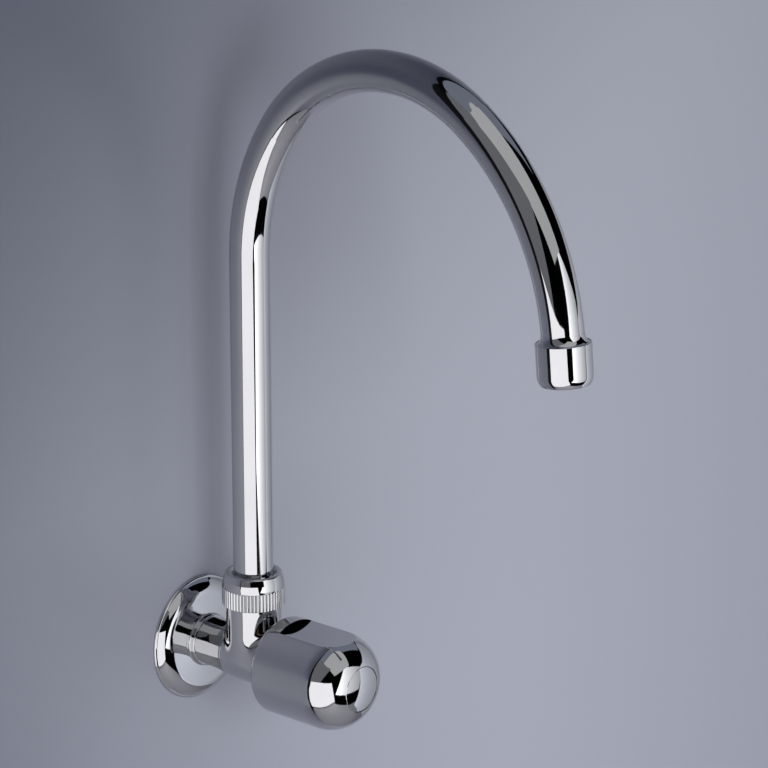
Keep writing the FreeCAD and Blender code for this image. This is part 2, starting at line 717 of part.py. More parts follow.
def make_spout_outlet(doc):
    """Fitting brazed to the pipe's end: fillet, thin collar and thread."""
    body = new_body(doc, "spout_outlet")
    hang_on_outlet(body)
    turned(body, "fitting", [
        Corner("pipe_radius", "-outlet_fillet", "outlet_fillet", INWARD),
        Corner("pipe_radius + outlet_fillet", "0"),
        Corner("outlet_collar_radius - 0.3", "0"),
        Corner("outlet_collar_radius", "0.3"),
        Corner("outlet_collar_radius", "outlet_collar"),
        Corner("outlet_thread_radius", "outlet_collar"),
        Corner("outlet_thread_radius", "outlet_thread_end - 0.5"),
        Corner("outlet_thread_radius - 0.5", "outlet_thread_end"),
        Corner("pipe_bore", "outlet_thread_end"),
        Corner("pipe_bore", "pipe_end_run"),
        Corner("pipe_radius", "pipe_end_run"),
    ])
    return body


def make_aerator_housing(doc):
    """Shell of the aerator, rounded in to its foot."""
    body = new_body(doc, "aerator_housing")
    hang_on_outlet(body)
    turned(body, "shell", [
        Corner("outlet_thread_radius", "aerator_start"),
        Corner("aerator_radius - 0.3", "aerator_start"),
        Corner("aerator_radius", "aerator_start + 0.3"),
        Corner("aerator_radius", "aerator_curve_start", "aerator_curve", OUTWARD),
        Corner("aerator_foot_radius", "aerator_length - 0.1"),
        Corner("aerator_foot_radius - 0.2", "aerator_length"),
        Corner("aerator_mouth", "aerator_length"),
        Corner("aerator_mouth", "aerator_ledge"),
        Corner("aerator_bore", "aerator_ledge"),
        Corner("aerator_bore", "aerator_thread_end"),
        Corner("outlet_thread_radius", "aerator_thread_end"),
    ])
    return body


def make_aerator_washer(doc):
    """Rubber washer between the outlet fitting and the insert."""
    body = new_body(doc, "aerator_washer")
    hang_on_outlet(body)
    turned(body, "washer", [
        Corner("pipe_bore", "outlet_thread_end"),
        Corner("insert_radius", "outlet_thread_end"),
        Corner("insert_radius", "insert_top"),
        Corner("pipe_bore", "insert_top"),
    ])
    return body


def make_aerator_insert(doc):
    """Plastic insert: rim, plate with two rings of holes, and blades below it."""
    body = new_body(doc, "aerator_insert")
    hang_on_outlet(body)
    foot = "aerator_ledge - screen_thickness"
    turned(body, "rim_and_plate", [
        Corner("0", "insert_top"),
        Corner("insert_radius", "insert_top"),
        Corner("insert_radius", foot),
        Corner("insert_radius - 1.1", foot),
        Corner("insert_radius - 1.1", "insert_top + insert_plate"),
        Corner("0", "insert_top + insert_plate"),
    ])
    for ring, reach, count in (("outer", "0.7", "outer_hole_count"),
                               ("inner", "0.38", "inner_hole_count")):
        circle = sketch_on(body, f"{ring}_hole_circle", "XY_Plane", "insert_top")
        draw_circle(circle, f"insert_radius * {reach}", "0", "insert_hole")
        hole = pocketed(body, f"{ring}_hole", circle, "insert_plate", reverse=True)
        repeated(body, f"{ring}_holes", hole, count)
    strip = sketch_on(body, "blade_outline", "XY_Plane", "insert_top + insert_plate")
    draw_box(strip, "0", "-0.35", "insert_radius - 0.6", "0.35")
    blade = padded(body, "blade", strip, f"{foot} - insert_top - insert_plate")
    repeated(body, "blades", blade, "blade_count")
    return body


def make_aerator_screen(doc):
    """Disc of wire mesh at the mouth."""
    disc = doc.addObject("Part::Cylinder", "aerator_screen")
    disc.Label = "aerator_screen"
    bind(disc, "Radius", "insert_radius")
    bind(disc, "Height", "screen_thickness")
    hang_on_outlet(disc)
    forward, up = pipe_point(len(BENDS))
    turn = turned_after(len(BENDS))
    start = "(aerator_ledge - screen_thickness)"
    bind(disc, "Placement.Base.y", f"{forward} - riser_offset - {start} * sin({turn})")
    bind(disc, "Placement.Base.z", f"{up} + {start} * cos({turn})")
    return disc


# ----------------------------------------------------------------- moving inside

def draw_spline_gap(sketch, tip, root, count):
    """One gap between spline teeth, on the X axis and open to the outside."""
    side = f"{tip} * sin(90 / {count})"
    draw_outline(sketch, [
        Corner(root, "0"),
        Corner(f"{tip} * cos(90 / {count})", f"-1 * {side}"),
        Corner(f"{tip} + 0.5", f"-1 * {side}"),
        Corner(f"{tip} + 0.5", side),
        Corner(f"{tip} * cos(90 / {count})", side),
    ])


def make_spindle(doc):
    """Spindle: lifting thread, thrust collar, two seal grooves, clip groove, spline."""
    body = new_body(doc, "spindle")
    lay_on_valve_axis(body)
    turned(body, "shaft", [
        Corner("0", "spindle_start"),
        Corner("screw_thread - 0.5", "spindle_start"),
        Corner("screw_thread", "spindle_start + 0.5"),
        Corner("screw_thread", "spindle_collar_start"),
        Corner("spindle_collar", "spindle_collar_start"),
        Corner("spindle_collar", "spindle_collar_end"),
        Corner("spindle_radius", "spindle_collar_end"),
        *seal_groove("spindle_radius", "seal_groove_radius", "inner_seal_out",
                     "seal_groove_width"),
        *seal_groove("spindle_radius", "seal_groove_radius", "outer_seal_out",
                     "seal_groove_width"),
        Corner("spindle_radius", "clip_groove_start"),
        Corner("clip_groove_radius", "clip_groove_start"),
        Corner("clip_groove_radius", "clip_groove_start + clip_groove_width"),
        Corner("spindle_radius", "clip_groove_start + clip_groove_width"),
        Corner("spindle_radius", "spline_start - 0.4"),
        Corner("spline_tip", "spline_start"),
        Corner("spline_tip", "spline_end - 0.3"),
        Corner("spline_tip - 0.3", "spline_end"),
        Corner("tapped_hole", "spline_end"),
        Corner("tapped_hole", "spline_start"),
        Corner("0", "spline_start"),
    ])
    gap = sketch_on(body, "tooth_gap", "XY_Plane", "spline_start")
    draw_spline_gap(gap, "spline_tip", "spline_root", "spline_count")
    cut = pocketed(body, "first_gap", gap, "spline_end - spline_start", reverse=True)
    repeated(body, "spline", cut, "spline_count")
    return body


def make_spindle_seal(doc, label, middle):
    """Seal between spindle and headpart."""
    return make_seal(doc, label, "seal_groove_radius", "seal_outer_radius", middle,
                     lay_on_valve_axis)


def make_clip(doc):
    """Open spring clip in the spindle's groove."""
    body = new_body(doc, "spindle_clip")
    lay_on_valve_axis(body)
    end = "clip_groove_start + clip_thickness"
    turned(body, "clip", [
        Corner("clip_groove_radius", "clip_groove_start"),
        Corner("clip_radius", "clip_groove_start"),
        Corner("clip_radius", end),
        Corner("clip_groove_radius", end),
    ], turn="clip_span")
    return body


def make_piston(doc):
    """Piston that the spindle lifts: washer cup, stud and hexagonal shank."""
    body = new_body(doc, "valve_piston")
    lay_on_valve_axis(body)
    turned(body, "cup_and_stud", [
        Corner("0", "stud_front"),
        Corner("stud_radius", "stud_front"),
        Corner("stud_radius", "washer_back"),
        Corner("washer_radius", "washer_back"),
        Corner("washer_radius", "cup_front"),
        Corner("cup_radius", "cup_front"),
        Corner("cup_radius", "cup_back - 0.8"),
        Corner("cup_radius - 0.8", "cup_back"),
        Corner("0", "cup_back"),
    ])
    shank = sketch_on(body, "shank_outline", "XY_Plane", "cup_back")
    draw_hexagon(shank, "piston_hex")
    padded(body, "shank", shank, "piston_end - cup_back")
    bore = sketch_on(body, "thread_circle", "XY_Plane", "piston_bore_start")
    draw_circle(bore, "0", "0", "piston_bore")
    pocketed(body, "lifting_thread", bore, "piston_end - piston_bore_start", reverse=True)
    return body


def make_washer_nut(doc):
    """Small nut that clamps the seat washer on its stud."""
    body = new_body(doc, "seat_washer_nut")
    lay_on_valve_axis(body)
    outline = sketch_on(body, "nut_outline", "XY_Plane", "washer_front - washer_nut_height")
    draw_hexagon(outline, "washer_nut_hex")
    draw_circle(outline, "0", "0", "stud_radius")
    padded(body, "nut", outline, "washer_nut_height")
    return body


# ------------------------------------------------------------------ knob and cap

def make_knob(doc):
    """Cast knob: round rear flange, two flats, domed front, hollow with a splined boss."""
    body = new_body(doc, "knob")
    lay_on_valve_axis(body)
    dome_centre = "(knob_radius - dome_radius)"
    rim_out = f"dome_start + sqrt(pow(dome_radius; 2) - pow(cap_seat_radius - {dome_centre}; 2))"
    turned(body, "outside", [
        Corner("0", "knob_rear"),
        Corner("knob_radius - knob_rear_round", "knob_rear", "knob_rear_round", OUTWARD),
        Corner("knob_radius", "knob_rear + knob_rear_round"),
        Corner("knob_radius", "dome_start", "dome_radius", OUTWARD),
        Corner("cap_seat_radius", rim_out),
        Corner("cap_seat_radius", "cap_seat_out"),
        Corner("well_radius", "cap_seat_out"),
        Corner("well_radius", "web_front"),
        Corner("screw_hole", "web_front"),
        Corner("0", "web_front"),
    ])
    flats = sketch_on(body, "flat_outlines", "XY_Plane", "flat_start")
    draw_box(flats, "-1.2 * knob_radius", "flat_height", "1.2 * knob_radius", "1.2 * knob_radius")
    draw_box(flats, "-1.2 * knob_radius", "-1.2 * knob_radius", "1.2 * knob_radius",
             "-flat_height")
    pocketed(body, "flats", flats, "cap_seat_out - flat_start", reverse=True)
    turned(body, "hollow", [
        Corner("0", "knob_rear"),
        Corner("hollow_mouth", "knob_rear"),
        Corner("hollow_mouth", "hollow_mouth_end - 2"),
        Corner("hollow_radius", "hollow_mouth_end"),
        Corner("hollow_radius", "hollow_end - 4"),
        Corner("hollow_radius - 4", "hollow_end"),
        Corner("boss_radius", "hollow_end"),
        Corner("boss_radius", "boss_start"),
        Corner("0", "boss_start"),
    ], cut=True)
    bore = sketch_on(body, "bore_circle", "XY_Plane", "boss_start")
    draw_circle(bore, "0", "0", "spline_root + spline_clearance")
    pocketed(body, "bore", bore, "spline_end + 0.4 - boss_start", reverse=True)
    groove = sketch_on(body, "tooth_groove", "XY_Plane", "boss_start")
    draw_tooth_groove(groove)
    cut = pocketed(body, "first_groove", groove, "spline_end + 0.4 - boss_start", reverse=True)
    repeated(body, "splined_bore", cut, "spline_count")
    hole = sketch_on(body, "screw_circle", "XY_Plane", "web_front")
    draw_circle(hole, "0", "0", "screw_hole")
    pocketed(body, "screw_hole", hole, "web_front - spline_end - 0.2")
    return body


def draw_tooth_groove(sketch):
    """Groove of the knob's bore that takes one tooth of the spindle."""
    pitch = "360 / spline_count"
    below = "(spline_root * 0.9)"
    root = "(spline_root + spline_clearance)"
    tip = "(spline_tip + spline_clearance)"
    draw_outline(sketch, [
        polar(below, "0"),
        polar(root, "0"),
        polar(tip, f"{pitch} / 4"),
        polar(tip, f"{pitch} * 3 / 4"),
        polar(root, pitch),
        polar(below, pitch),
    ])


def make_handle_screw(doc):
    """Slotted screw that holds the knob on the spindle."""
    body = new_body(doc, "handle_screw")
    lay_on_valve_axis(body)
    top = "web_front + screw_head_height"
    turned(body, "screw", [
        Corner("0", "screw_start"),
        Corner("screw_radius - 0.5", "screw_start"),
        Corner("screw_radius", "screw_start + 0.5"),
        Corner("screw_radius", "web_front"),
        Corner("screw_head", "web_front"),
        Corner("screw_head", f"{top} - 1.2"),
        Corner("screw_head - 1.2", top),
        Corner("0", top),
    ])
    slot = sketch_on(body, "slot_outline", "XY_Plane", top)
    draw_box(slot, "-1.1 * screw_head", "-screw_slot / 2", "1.1 * screw_head", "screw_slot / 2")
    pocketed(body, "slot", slot, "screw_slot_depth")
    return body


def make_index_cap(doc):
    """Plain domed cap pressed into the front of the knob."""
    body = new_body(doc, "index_cap")
    lay_on_valve_axis(body)
    crown = "(pow(cap_radius - 0.3; 2) + pow(cap_crown; 2)) / (2 * cap_crown)"
    turned(body, "cap", [
        Corner("0", "cap_seat_out"),
        Corner("cap_skirt - cap_skirt_wall", "cap_seat_out"),
        Corner("cap_skirt - cap_skirt_wall", "cap_skirt_start"),
        Corner("cap_skirt - 0.4", "cap_skirt_start"),
        Corner("cap_skirt", "cap_skirt_start + 0.6"),
        Corner("cap_skirt", "cap_seat_out"),
        Corner("cap_radius", "cap_seat_out"),
        Corner("cap_radius", "cap_edge - 0.3"),
        Corner("cap_radius - 0.3", "cap_edge", crown, OUTWARD),
        Corner("0", "cap_edge + cap_crown"),
    ])
    return body


# ------------------------------------------------------------------------ output

def make_all(doc):
    """Build every sub-part, fixed ones first, then each moving group."""
    make_sheet(doc)
    return [
        make_valve_body(doc),
        make_wall_flange(doc),
        make_spout_nut(doc),
        make_bearing_ring(doc),
        make_bonnet(doc),
        make_ring(doc, "bonnet_gasket", "gasket_inner", "gasket_outer",
                  "barrel_end", "bonnet_hex_start"),
        make_spout_pipe(doc),
        make_spout_bush(doc),
        make_spout_seal(doc, "spout_seal_lower", "lower_ring_up"),
        make_spout_seal(doc, "spout_seal_upper", "upper_ring_up"),
        make_spout_outlet(doc),
        make_aerator_housing(doc),
        make_aerator_washer(doc),
        make_aerator_insert(doc),
        make_aerator_screen(doc),
        make_knob(doc),
        make_index_cap(doc),
        make_handle_screw(doc),
        make_spindle(doc),
        make_spindle_seal(doc, "spindle_seal_inner", "inner_seal_out"),
        make_spindle_seal(doc, "spindle_seal_outer", "outer_seal_out"),
        make_ring(doc, "thrust_washer", "spindle_bore", "thrust_washer_radius",
                  "thrust_washer_start", "thrust_washer_start + thrust_washer_thickness"),
        make_clip(doc),
        make_piston(doc),
        make_ring(doc, "seat_washer", "stud_radius", "washer_radius",
                  "washer_front", "washer_back"),
        make_washer_nut(doc),
    ]


def check(doc, pieces):
    """Stop at the first failed object or unsound shape."""
    doc.recompute()
    for thing in doc.Objects:
        if "Invalid" in thing.State or "Error" in thing.State:
            raise RuntimeError(f"{thing.Name} failed: {thing.State}")
    for piece in pieces:
        shape = piece.Shape
        if shape.isNull() or not shape.isValid():
            raise RuntimeError(f"{piece.Label} has no sound shape")


def main():
    doc = FreeCAD.newDocument("wall_tap")
    pieces = make_all(doc)
    check(doc, pieces)
    os.makedirs("parts", exist_ok=True)
    for piece in pieces:
        piece.Shape.exportStep(f"parts/{piece.Label}.step")
        print(f"{piece.Label}: {len(piece.Shape.Solids)} solid, "
              f"{piece.Shape.Volume / 1000:.3f} cm3")


main()
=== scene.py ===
"""Looks of the wall-mounted kitchen tap, built round its packed CAD model.

The frame's pieces keep their place and their size. This file gives them their finish,
makes four of them anew with finer forms, adds the thread of the inlet, and sets up
the wall, the floor, the soft light and the camera.
"""

import math

import bmesh
import bpy
import numpy as np
from bpy.props import FloatProperty, FloatVectorProperty, PointerProperty
from bpy.types import Operator, Panel, PropertyGroup
from mathutils import Matrix, Vector


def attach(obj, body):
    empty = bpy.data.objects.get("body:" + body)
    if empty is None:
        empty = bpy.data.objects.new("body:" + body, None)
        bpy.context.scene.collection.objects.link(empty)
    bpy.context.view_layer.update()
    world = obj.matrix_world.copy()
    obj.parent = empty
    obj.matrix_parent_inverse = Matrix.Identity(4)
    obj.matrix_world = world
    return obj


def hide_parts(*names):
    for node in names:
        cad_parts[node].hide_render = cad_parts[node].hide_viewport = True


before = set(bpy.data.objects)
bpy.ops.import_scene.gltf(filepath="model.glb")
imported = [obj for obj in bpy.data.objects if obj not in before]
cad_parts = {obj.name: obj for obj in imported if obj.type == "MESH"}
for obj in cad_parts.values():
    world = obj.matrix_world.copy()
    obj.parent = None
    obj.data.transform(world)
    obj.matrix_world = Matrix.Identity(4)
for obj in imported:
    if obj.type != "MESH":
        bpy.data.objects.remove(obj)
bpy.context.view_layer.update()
MM = 0.001
MICRON = 0.000001

bl_info = {
    "name": "Wall Tap Looks",
    "version": (1, 0, 0),
    "blender": (4, 5, 0),
    "location": "3D View > Sidebar > Wall Tap",
    "description": "Finishes a wall-mounted kitchen tap and its plain studio",
    "category": "Object",
}


def placed(name, data):
    """New object of the scene that holds some data."""
    thing = bpy.data.objects.new(name, data)
    bpy.context.scene.collection.objects.link(thing)
    return thing


# ------------------------------------------------------------------- materials

# Sizes of the noise in cells per metre, and depths of the bumps in metres.
PLATE_DRIFT = 35         # tone of the chrome
PLATE_HAZE = 140         # its roughness
TARNISH = 180            # tone of bare metal
LATHE_HAZE = 400         # its roughness
LATHE_RINGS = 8 * MICRON
PAINT_GRAIN = 260
PAINT_DEPTH = 80 * MICRON
BRASS = (0.60, 0.43, 0.19)
STEEL = (0.55, 0.54, 0.52)


def new_material(name):
    """Empty node material with a Principled shader; returns material, tree, shader."""
    material = bpy.data.materials.new(name)
    material.use_nodes = True
    tree = material.node_tree
    shader = tree.nodes["Principled BSDF"]
    return material, tree, shader


def node(tree, kind, **inputs):
    """Add a node; inputs named by socket are given as values or as other sockets."""
    made = tree.nodes.new(kind)
    for name, value in inputs.items():
        socket = made.inputs[name.replace("_", " ")]
        if isinstance(value, bpy.types.NodeSocket):
            tree.links.new(value, socket)
        else:
            socket.default_value = value
    return made


def own_place(tree):
    """Coordinates of the piece itself."""
    return tree.nodes.new("ShaderNodeTexCoord").outputs["Object"]


def noise(tree, scale, detail=2.0, stretch=(1, 1, 1)):
    """Noise over the piece's own coordinates; scale is in cells per metre."""
    mapping = node(tree, "ShaderNodeMapping", Vector=own_place(tree), Scale=stretch)
    cloud = node(tree, "ShaderNodeTexNoise", Vector=mapping.outputs["Vector"],
                 Scale=scale, Detail=detail)
    return cloud.outputs["Fac"]


def spread(tree, value, low, high, start=0.3, end=0.7):
    """Bring a value between start and end, as noise mostly is, to the range low to high."""
    made = node(tree, "ShaderNodeMapRange", Value=value)
    for name, number in (("From Min", start), ("From Max", end),
                         ("To Min", low), ("To Max", high)):
        made.inputs[name].default_value = number
    return made.outputs["Result"]


def computed(tree, operation, *values):
    """One step of arithmetic on values and sockets."""
    made = tree.nodes.new("ShaderNodeMath")
    made.operation = operation
    for number, value in enumerate(values):
        if isinstance(value, bpy.types.NodeSocket):
            tree.links.new(value, made.inputs[number])
        else:
            made.inputs[number].default_value = value
    return made.outputs[0]


def bumped(tree, shader, height, depth):
    """Feed a height to the shader as a bump of a depth in metres."""
    made = node(tree, "ShaderNodeBump", Height=height, Distance=depth)
    tree.links.new(made.outputs["Normal"], shader.inputs["Normal"])


def tinted(tree, shader, dark, light, fac):
    """Let the colour drift between two tones by a value from 0 to 1."""
    mix = tree.nodes.new("ShaderNodeMix")
    mix.data_type = "RGBA"
    tree.links.new(fac, mix.inputs["Factor"])
    mix.inputs["A"].default_value = (*dark, 1)
    mix.inputs["B"].default_value = (*light, 1)
    tree.links.new(mix.outputs["Result"], shader.inputs["Base Color"])


def shaded(colour, factor):
    """A colour made lighter or darker."""
    return tuple(min(1.0, part * factor) for part in colour)


def chrome(name, look, ripple, ripple_scale, stretch=(1, 1, 1)):
    """Polished plate; ripple is how deep the unevenness under it is, in metres."""
    material, tree, shader = new_material(name)
    shader.inputs["Metallic"].default_value = 1
    cloud = noise(tree, PLATE_DRIFT, detail=3)
    tinted(tree, shader, shaded(look.chrome_colour, 0.97), shaded(look.chrome_colour, 1.03),
           spread(tree, cloud, 0, 1))
    haze = noise(tree, PLATE_HAZE, detail=4)
    tree.links.new(spread(tree, haze, look.chrome_roughness * 0.7,
                          look.chrome_roughness * 1.5), shader.inputs["Roughness"])
    bumped(tree, shader, noise(tree, ripple_scale, detail=1.5, stretch=stretch), ripple)
    return material


def turned_metal(name, colour, along, pitch, roughness):
    """Bare metal from the lathe: fine rings along an axis, and a little tarnish."""
    material, tree, shader = new_material(name)
    shader.inputs["Metallic"].default_value = 1
    tinted(tree, shader, shaded(colour, 0.75), shaded(colour, 1.08),
           spread(tree, noise(tree, TARNISH, detail=5), 0, 1))
    haze = noise(tree, LATHE_HAZE, detail=3)
    tree.links.new(spread(tree, haze, roughness * 0.8, roughness * 1.3),
                   shader.inputs["Roughness"])
    rings = node(tree, "ShaderNodeTexWave", Vector=own_place(tree), Scale=1 / pitch,
                 Distortion=0.4)
    rings.bands_direction = along
    bumped(tree, shader, rings.outputs["Fac"], LATHE_RINGS)
    return material


def moulded(name, colour, roughness, grain, depth):
    """Rubber, fibre or plastic: a fine grain and a slightly uneven tone."""
    material, tree, shader = new_material(name)
    tinted(tree, shader, shaded(colour, 0.8), shaded(colour, 1.15),
           spread(tree, noise(tree, grain * 0.2, detail=4), 0, 1))
    haze = noise(tree, grain * 0.5, detail=3)
    tree.links.new(spread(tree, haze, roughness * 0.85, min(1, roughness * 1.2)),
                   shader.inputs["Roughness"])
    bumped(tree, shader, noise(tree, grain, detail=4), depth)
    return material


# ----------------------------------------------------------------------- sizes

class TapLook(PropertyGroup):
    """Finish of the metal."""
    chrome_colour: FloatVectorProperty(
        name="Chrome colour", description="Colour of the polished plate",
        subtype="COLOR", size=3, min=0, max=1, default=(0.565, 0.57, 0.585))
    chrome_roughness: FloatProperty(
        name="Chrome roughness", description="How hazy the polished plate is",
        min=0, max=1, default=0.04)


class TapView(PropertyGroup):
    """Where the camera stands."""
    azimuth: FloatProperty(
        name="Azimuth", description="Turn round the tap; nought looks at the wall",
        subtype="ANGLE", default=math.radians(-49.03))
    elevation: FloatProperty(
        name="Elevation", description="Height above the horizon",
        subtype="ANGLE", default=math.radians(16.69))
    distance: FloatProperty(
        name="Distance", description="From the aim point to the camera",
        subtype="DISTANCE", unit="LENGTH", default=1.46196)
    aim: FloatVectorProperty(
        name="Aim", description="Point in the middle of the picture",
        subtype="TRANSLATION", unit="LENGTH", size=3, default=(0, -0.11949, 0.15069))
    lens: FloatProperty(
        name="Lens", description="Focal length for a 36 mm sensor, in millimetres",
        default=152.86)


class TapStage(PropertyGroup):
    """Wall, floor and light."""
    wall_colour: FloatVectorProperty(
        name="Wall colour", description="Colour of the painted wall",
        subtype="COLOR", size=3, min=0, max=1, default=(0.46, 0.477, 0.555))
    floor_colour: FloatVectorProperty(
        name="Floor colour", description="Colour of the floor",
        subtype="COLOR", size=3, min=0, max=1, default=(0.50, 0.49, 0.52))
    floor_height: FloatProperty(
        name="Floor height", description="Height of the floor under the inlet's axis",
        subtype="DISTANCE", unit="LENGTH", default=-0.80)
    key_strength: FloatProperty(
        name="Front light", description="Brightness of the soft box in front",
        min=0, default=2.0)
    side_strength: FloatProperty(
        name="Side light", description="Brightness of the soft box at the left",
        min=0, default=1.45)
    wash_power: FloatProperty(
        name="Wall wash", description="Power of the lamp that only lights wall and floor",
        subtype="POWER", unit="POWER", min=0, default=8.5)


# ----------------------------------------------------------------------- stage

# Soft boxes of the studio: corners in metres.
LEFT_BOX = ((-0.687, -0.028, 0.131), (-0.51, -0.81, 0.145),
            (-0.53, -1.261, -0.748), (-0.853, 0.175, -0.756))
FRONT_BOX = ((0.073, -1.619, 0.944), (-0.686, -1.681, -0.486), (0.109, -1.608, -0.552),
             (1.045, -1.524, -0.583), (1.309, -1.504, 0.287))
# Boards that glow faintly: corners, brightness and tint.
BOARDS = {
    "stage_ceiling": (((-0.62, -0.3, 0.9), (-0.774, -1.593, 0.702),
                       (0.421, -1.455, 0.767), (0.2, -0.36, 0.9),
                       (0.08, -0.27, 0.92), (-0.1, -0.27, 0.92)), 0.56, (0.99, 1.0, 1.0)),
    "stage_left_board": (((-0.86, 0.435, 1.667), (-0.829, 0.244, 0.115),
                          (-0.708, -0.323, 0.091), (-0.597, -0.821, 0.805)),
                         0.19, (0.97, 0.99, 1.06)),
    "stage_right_board": (((0.62, -0.83, 0.16), (0.62, -0.61, 0.2), (0.62, -0.19, 0.41),
                           (0.62, -0.02, 0.36), (0.62, -0.02, -0.6), (0.62, -0.94, -0.74)),
                          0.70, (0.94, 0.98, 1.09)),
    "stage_roof": (((-2.6, -0.9, 1.7), (0.0, -0.75, 1.7), (2.6, -1.1, 1.7), (2.6, 1.0, 1.7),
                    (-2.6, 1.0, 1.7)), 0.24, (0.86, 0.95, 1.18)),
}
# Panels that fade along an axis: where they are at full brightness, and how slowly they fade,
# both in metres.
FADING = {"stage_front_light": ("X", -0.3, 1.15), "stage_right_board": ("Y", -0.62, 0.8)}

ROOM_LOW = (-3.2, -3.4, -1.6)       # corners of the dark studio round the boards
ROOM_HIGH = (3.2, 0.02, 2.6)
ROOM_BLACK = (0.012, 0.012, 0.013)

WALL_EDGE = -0.36           # left end of the wall
WALL_END = 1.2              # right end
WALL_TOP = 1.1
WALL_HOLE = 0.025           # radius of the hole that the inlet goes through
WALL_PATCH = 0.05           # half side of the square of wall round the hole
# Painted shade on the wall: its colour darkens to the left and upwards in place of the light
# falling off.
WALL_PAINTED_SHADE = (-0.42, 0.24)   # across, where the paint goes from its darkest painted shade to full
WALL_SHADE_LEAN = -0.75      # how much that shifts with the height
WALL_SHADE_FOOT = 0.08       # height under which it doesn't
WALL_IN_SHADE = (0.18, 0.195, 0.24)     # how much of each colour is left where the painted shade is darkest

FLOOR_LEFT, FLOOR_RIGHT, FLOOR_FRONT = -0.8, 1.6, -1.15
FLOOR_GLOW = 0.55           # what the camera sees on top of the floor's own paint

PALE = (0.96, 0.97, 1.0, 1)         # colour of the surroundings and of the floor's glow
AIR_FAINT, AIR_SEEN = 0.01, 0.85    # strength as light, and to the eye and in mirrors

WASH_AT = (-0.55, -1.45, 0.35)
WASH_AIM = (0.05, 0, 0.1)
WASH_SIZE = 0.5
SENSOR_WIDTH = 36           # millimetres


def flat_panel(name, corners, material):
    """One flat stage panel through its corners."""
    mesh = bpy.data.meshes.new(name)
    mesh.from_pydata([Vector(c) for c in corners], [], [range(len(corners))])
    mesh.materials.append(material)
    panel = placed(name, mesh)
    return panel


def glowing(name, strength, tint, fall=None):
    """Material of a lit panel, which may fade along one of its axes."""
    material, tree, shader = new_material(name)
    tree.nodes.remove(shader)
    glow = node(tree, "ShaderNodeEmission", Color=(*tint, 1), Strength=strength)
    if fall:
        axis, start, slowness = fall
        across = node(tree, "ShaderNodeSeparateXYZ", Vector=own_place(tree)).outputs[axis]
        faded = computed(tree, "EXPONENT", computed(tree, "MULTIPLY_ADD", across,
                                                    -1 / slowness, start / slowness))
        tree.links.new(computed(tree, "MULTIPLY", faded, strength), glow.inputs["Strength"])
    tree.links.new(glow.outputs["Emission"], tree.nodes["Material Output"].inputs["Surface"])
    return material


def painted(name, colour, sheen, roughness):
    """Paint with a faint roller grain; returns material, tree and shader."""
    material, tree, shader = new_material(name)
    shader.inputs["Base Color"].default_value = (*colour, 1)
    shader.inputs["Roughness"].default_value = roughness
    shader.inputs["Specular IOR Level"].default_value = sheen
    bumped(tree, shader, noise(tree, PAINT_GRAIN, detail=3), PAINT_DEPTH)
    return material, tree, shader


def wall_with_painted_shade(colour):
    """Wall paint with painted shade that darkens it to the left and upwards in place of the light
    falling off, and shows nothing from behind.
    """
    material, tree, shader = painted("wall_paint", colour, sheen=1.0, roughness=0.42)
    axes = node(tree, "ShaderNodeSeparateXYZ", Vector=own_place(tree)).outputs
    high = computed(tree, "MAXIMUM", axes["Z"], WALL_SHADE_FOOT)
    # painted shade: 0 where the wall's colour is darkest, 1 where it is full
    fade = node(tree, "ShaderNodeMapRange",
                Value=computed(tree, "MULTIPLY_ADD", high, WALL_SHADE_LEAN, axes["X"]))
    fade.interpolation_type = "SMOOTHSTEP"
    fade.inputs["From Min"].default_value, fade.inputs["From Max"].default_value = WALL_PAINTED_SHADE
    # colour of the wall where its painted shade is darkest
    dark = [part * left for part, left in zip(colour, WALL_IN_SHADE)]
    tinted(tree, shader, dark, colour, fade.outputs["Result"])

    back = tree.nodes.new("ShaderNodeNewGeometry").outputs["Backfacing"]
    seen = tree.nodes.new("ShaderNodeLightPath").outputs["Is Camera Ray"]
    mix = node(tree, "ShaderNodeMixShader", Fac=computed(tree, "MULTIPLY", back, seen))
    tree.links.new(shader.outputs[0], mix.inputs[1])
    clear = tree.nodes.new("ShaderNodeBsdfTransparent")
    tree.links.new(clear.outputs[0], mix.inputs[2])
    tree.links.new(mix.outputs[0], tree.nodes["Material Output"].inputs["Surface"])
    return material


def pale_floor(colour):
    """Floor paint that the camera sees paler than the metal does."""
    material, tree, shader = painted("floor_paint", colour, sheen=0.1, roughness=0.9)
    seen = tree.nodes.new("ShaderNodeLightPath").outputs["Is Camera Ray"]
    shader.inputs["Emission Color"].default_value = PALE
    tree.links.new(computed(tree, "MULTIPLY", seen, FLOOR_GLOW),
                   shader.inputs["Emission Strength"])
    return material


def wall_mesh(low, material, sides=48):
    """Wall with the round hole that the inlet goes through, facing the room."""
    made = bmesh.new()
    ring, square = [], []
    for i in range(sides):
        angle = 2 * math.pi * i / sides
        across, up = math.cos(angle), math.sin(angle)
        reach = WALL_PATCH / max(abs(across), abs(up))
        ring.append(made.verts.new((WALL_HOLE * across, 0, WALL_HOLE * up)))
        square.append(made.verts.new((reach * across, 0, reach * up)))
    for i in range(sides):
        j = (i + 1) % sides
        made.faces.new((ring[i], ring[j], square[j], square[i]))
    for x0, x1, z0, z1 in ((WALL_EDGE, -WALL_PATCH, low, WALL_TOP),
                           (WALL_PATCH, WALL_END, low, WALL_TOP),
                           (-WALL_PATCH, WALL_PATCH, low, -WALL_PATCH),
                           (-WALL_PATCH, WALL_PATCH, WALL_PATCH, WALL_TOP)):
        made.faces.new([made.verts.new((x, 0, z))
                        for x, z in ((x0, z0), (x1, z0), (x1, z1), (x0, z1))])
    bmesh.ops.recalc_face_normals(made, faces=made.faces)
    for face in made.faces:
        face.normal_update()
        if face.normal.y > 0:
            face.normal_flip()
    mesh = bpy.data.meshes.new("stage_wall")
    made.to_mesh(mesh)
    made.free()
    mesh.materials.append(material)
    return mesh


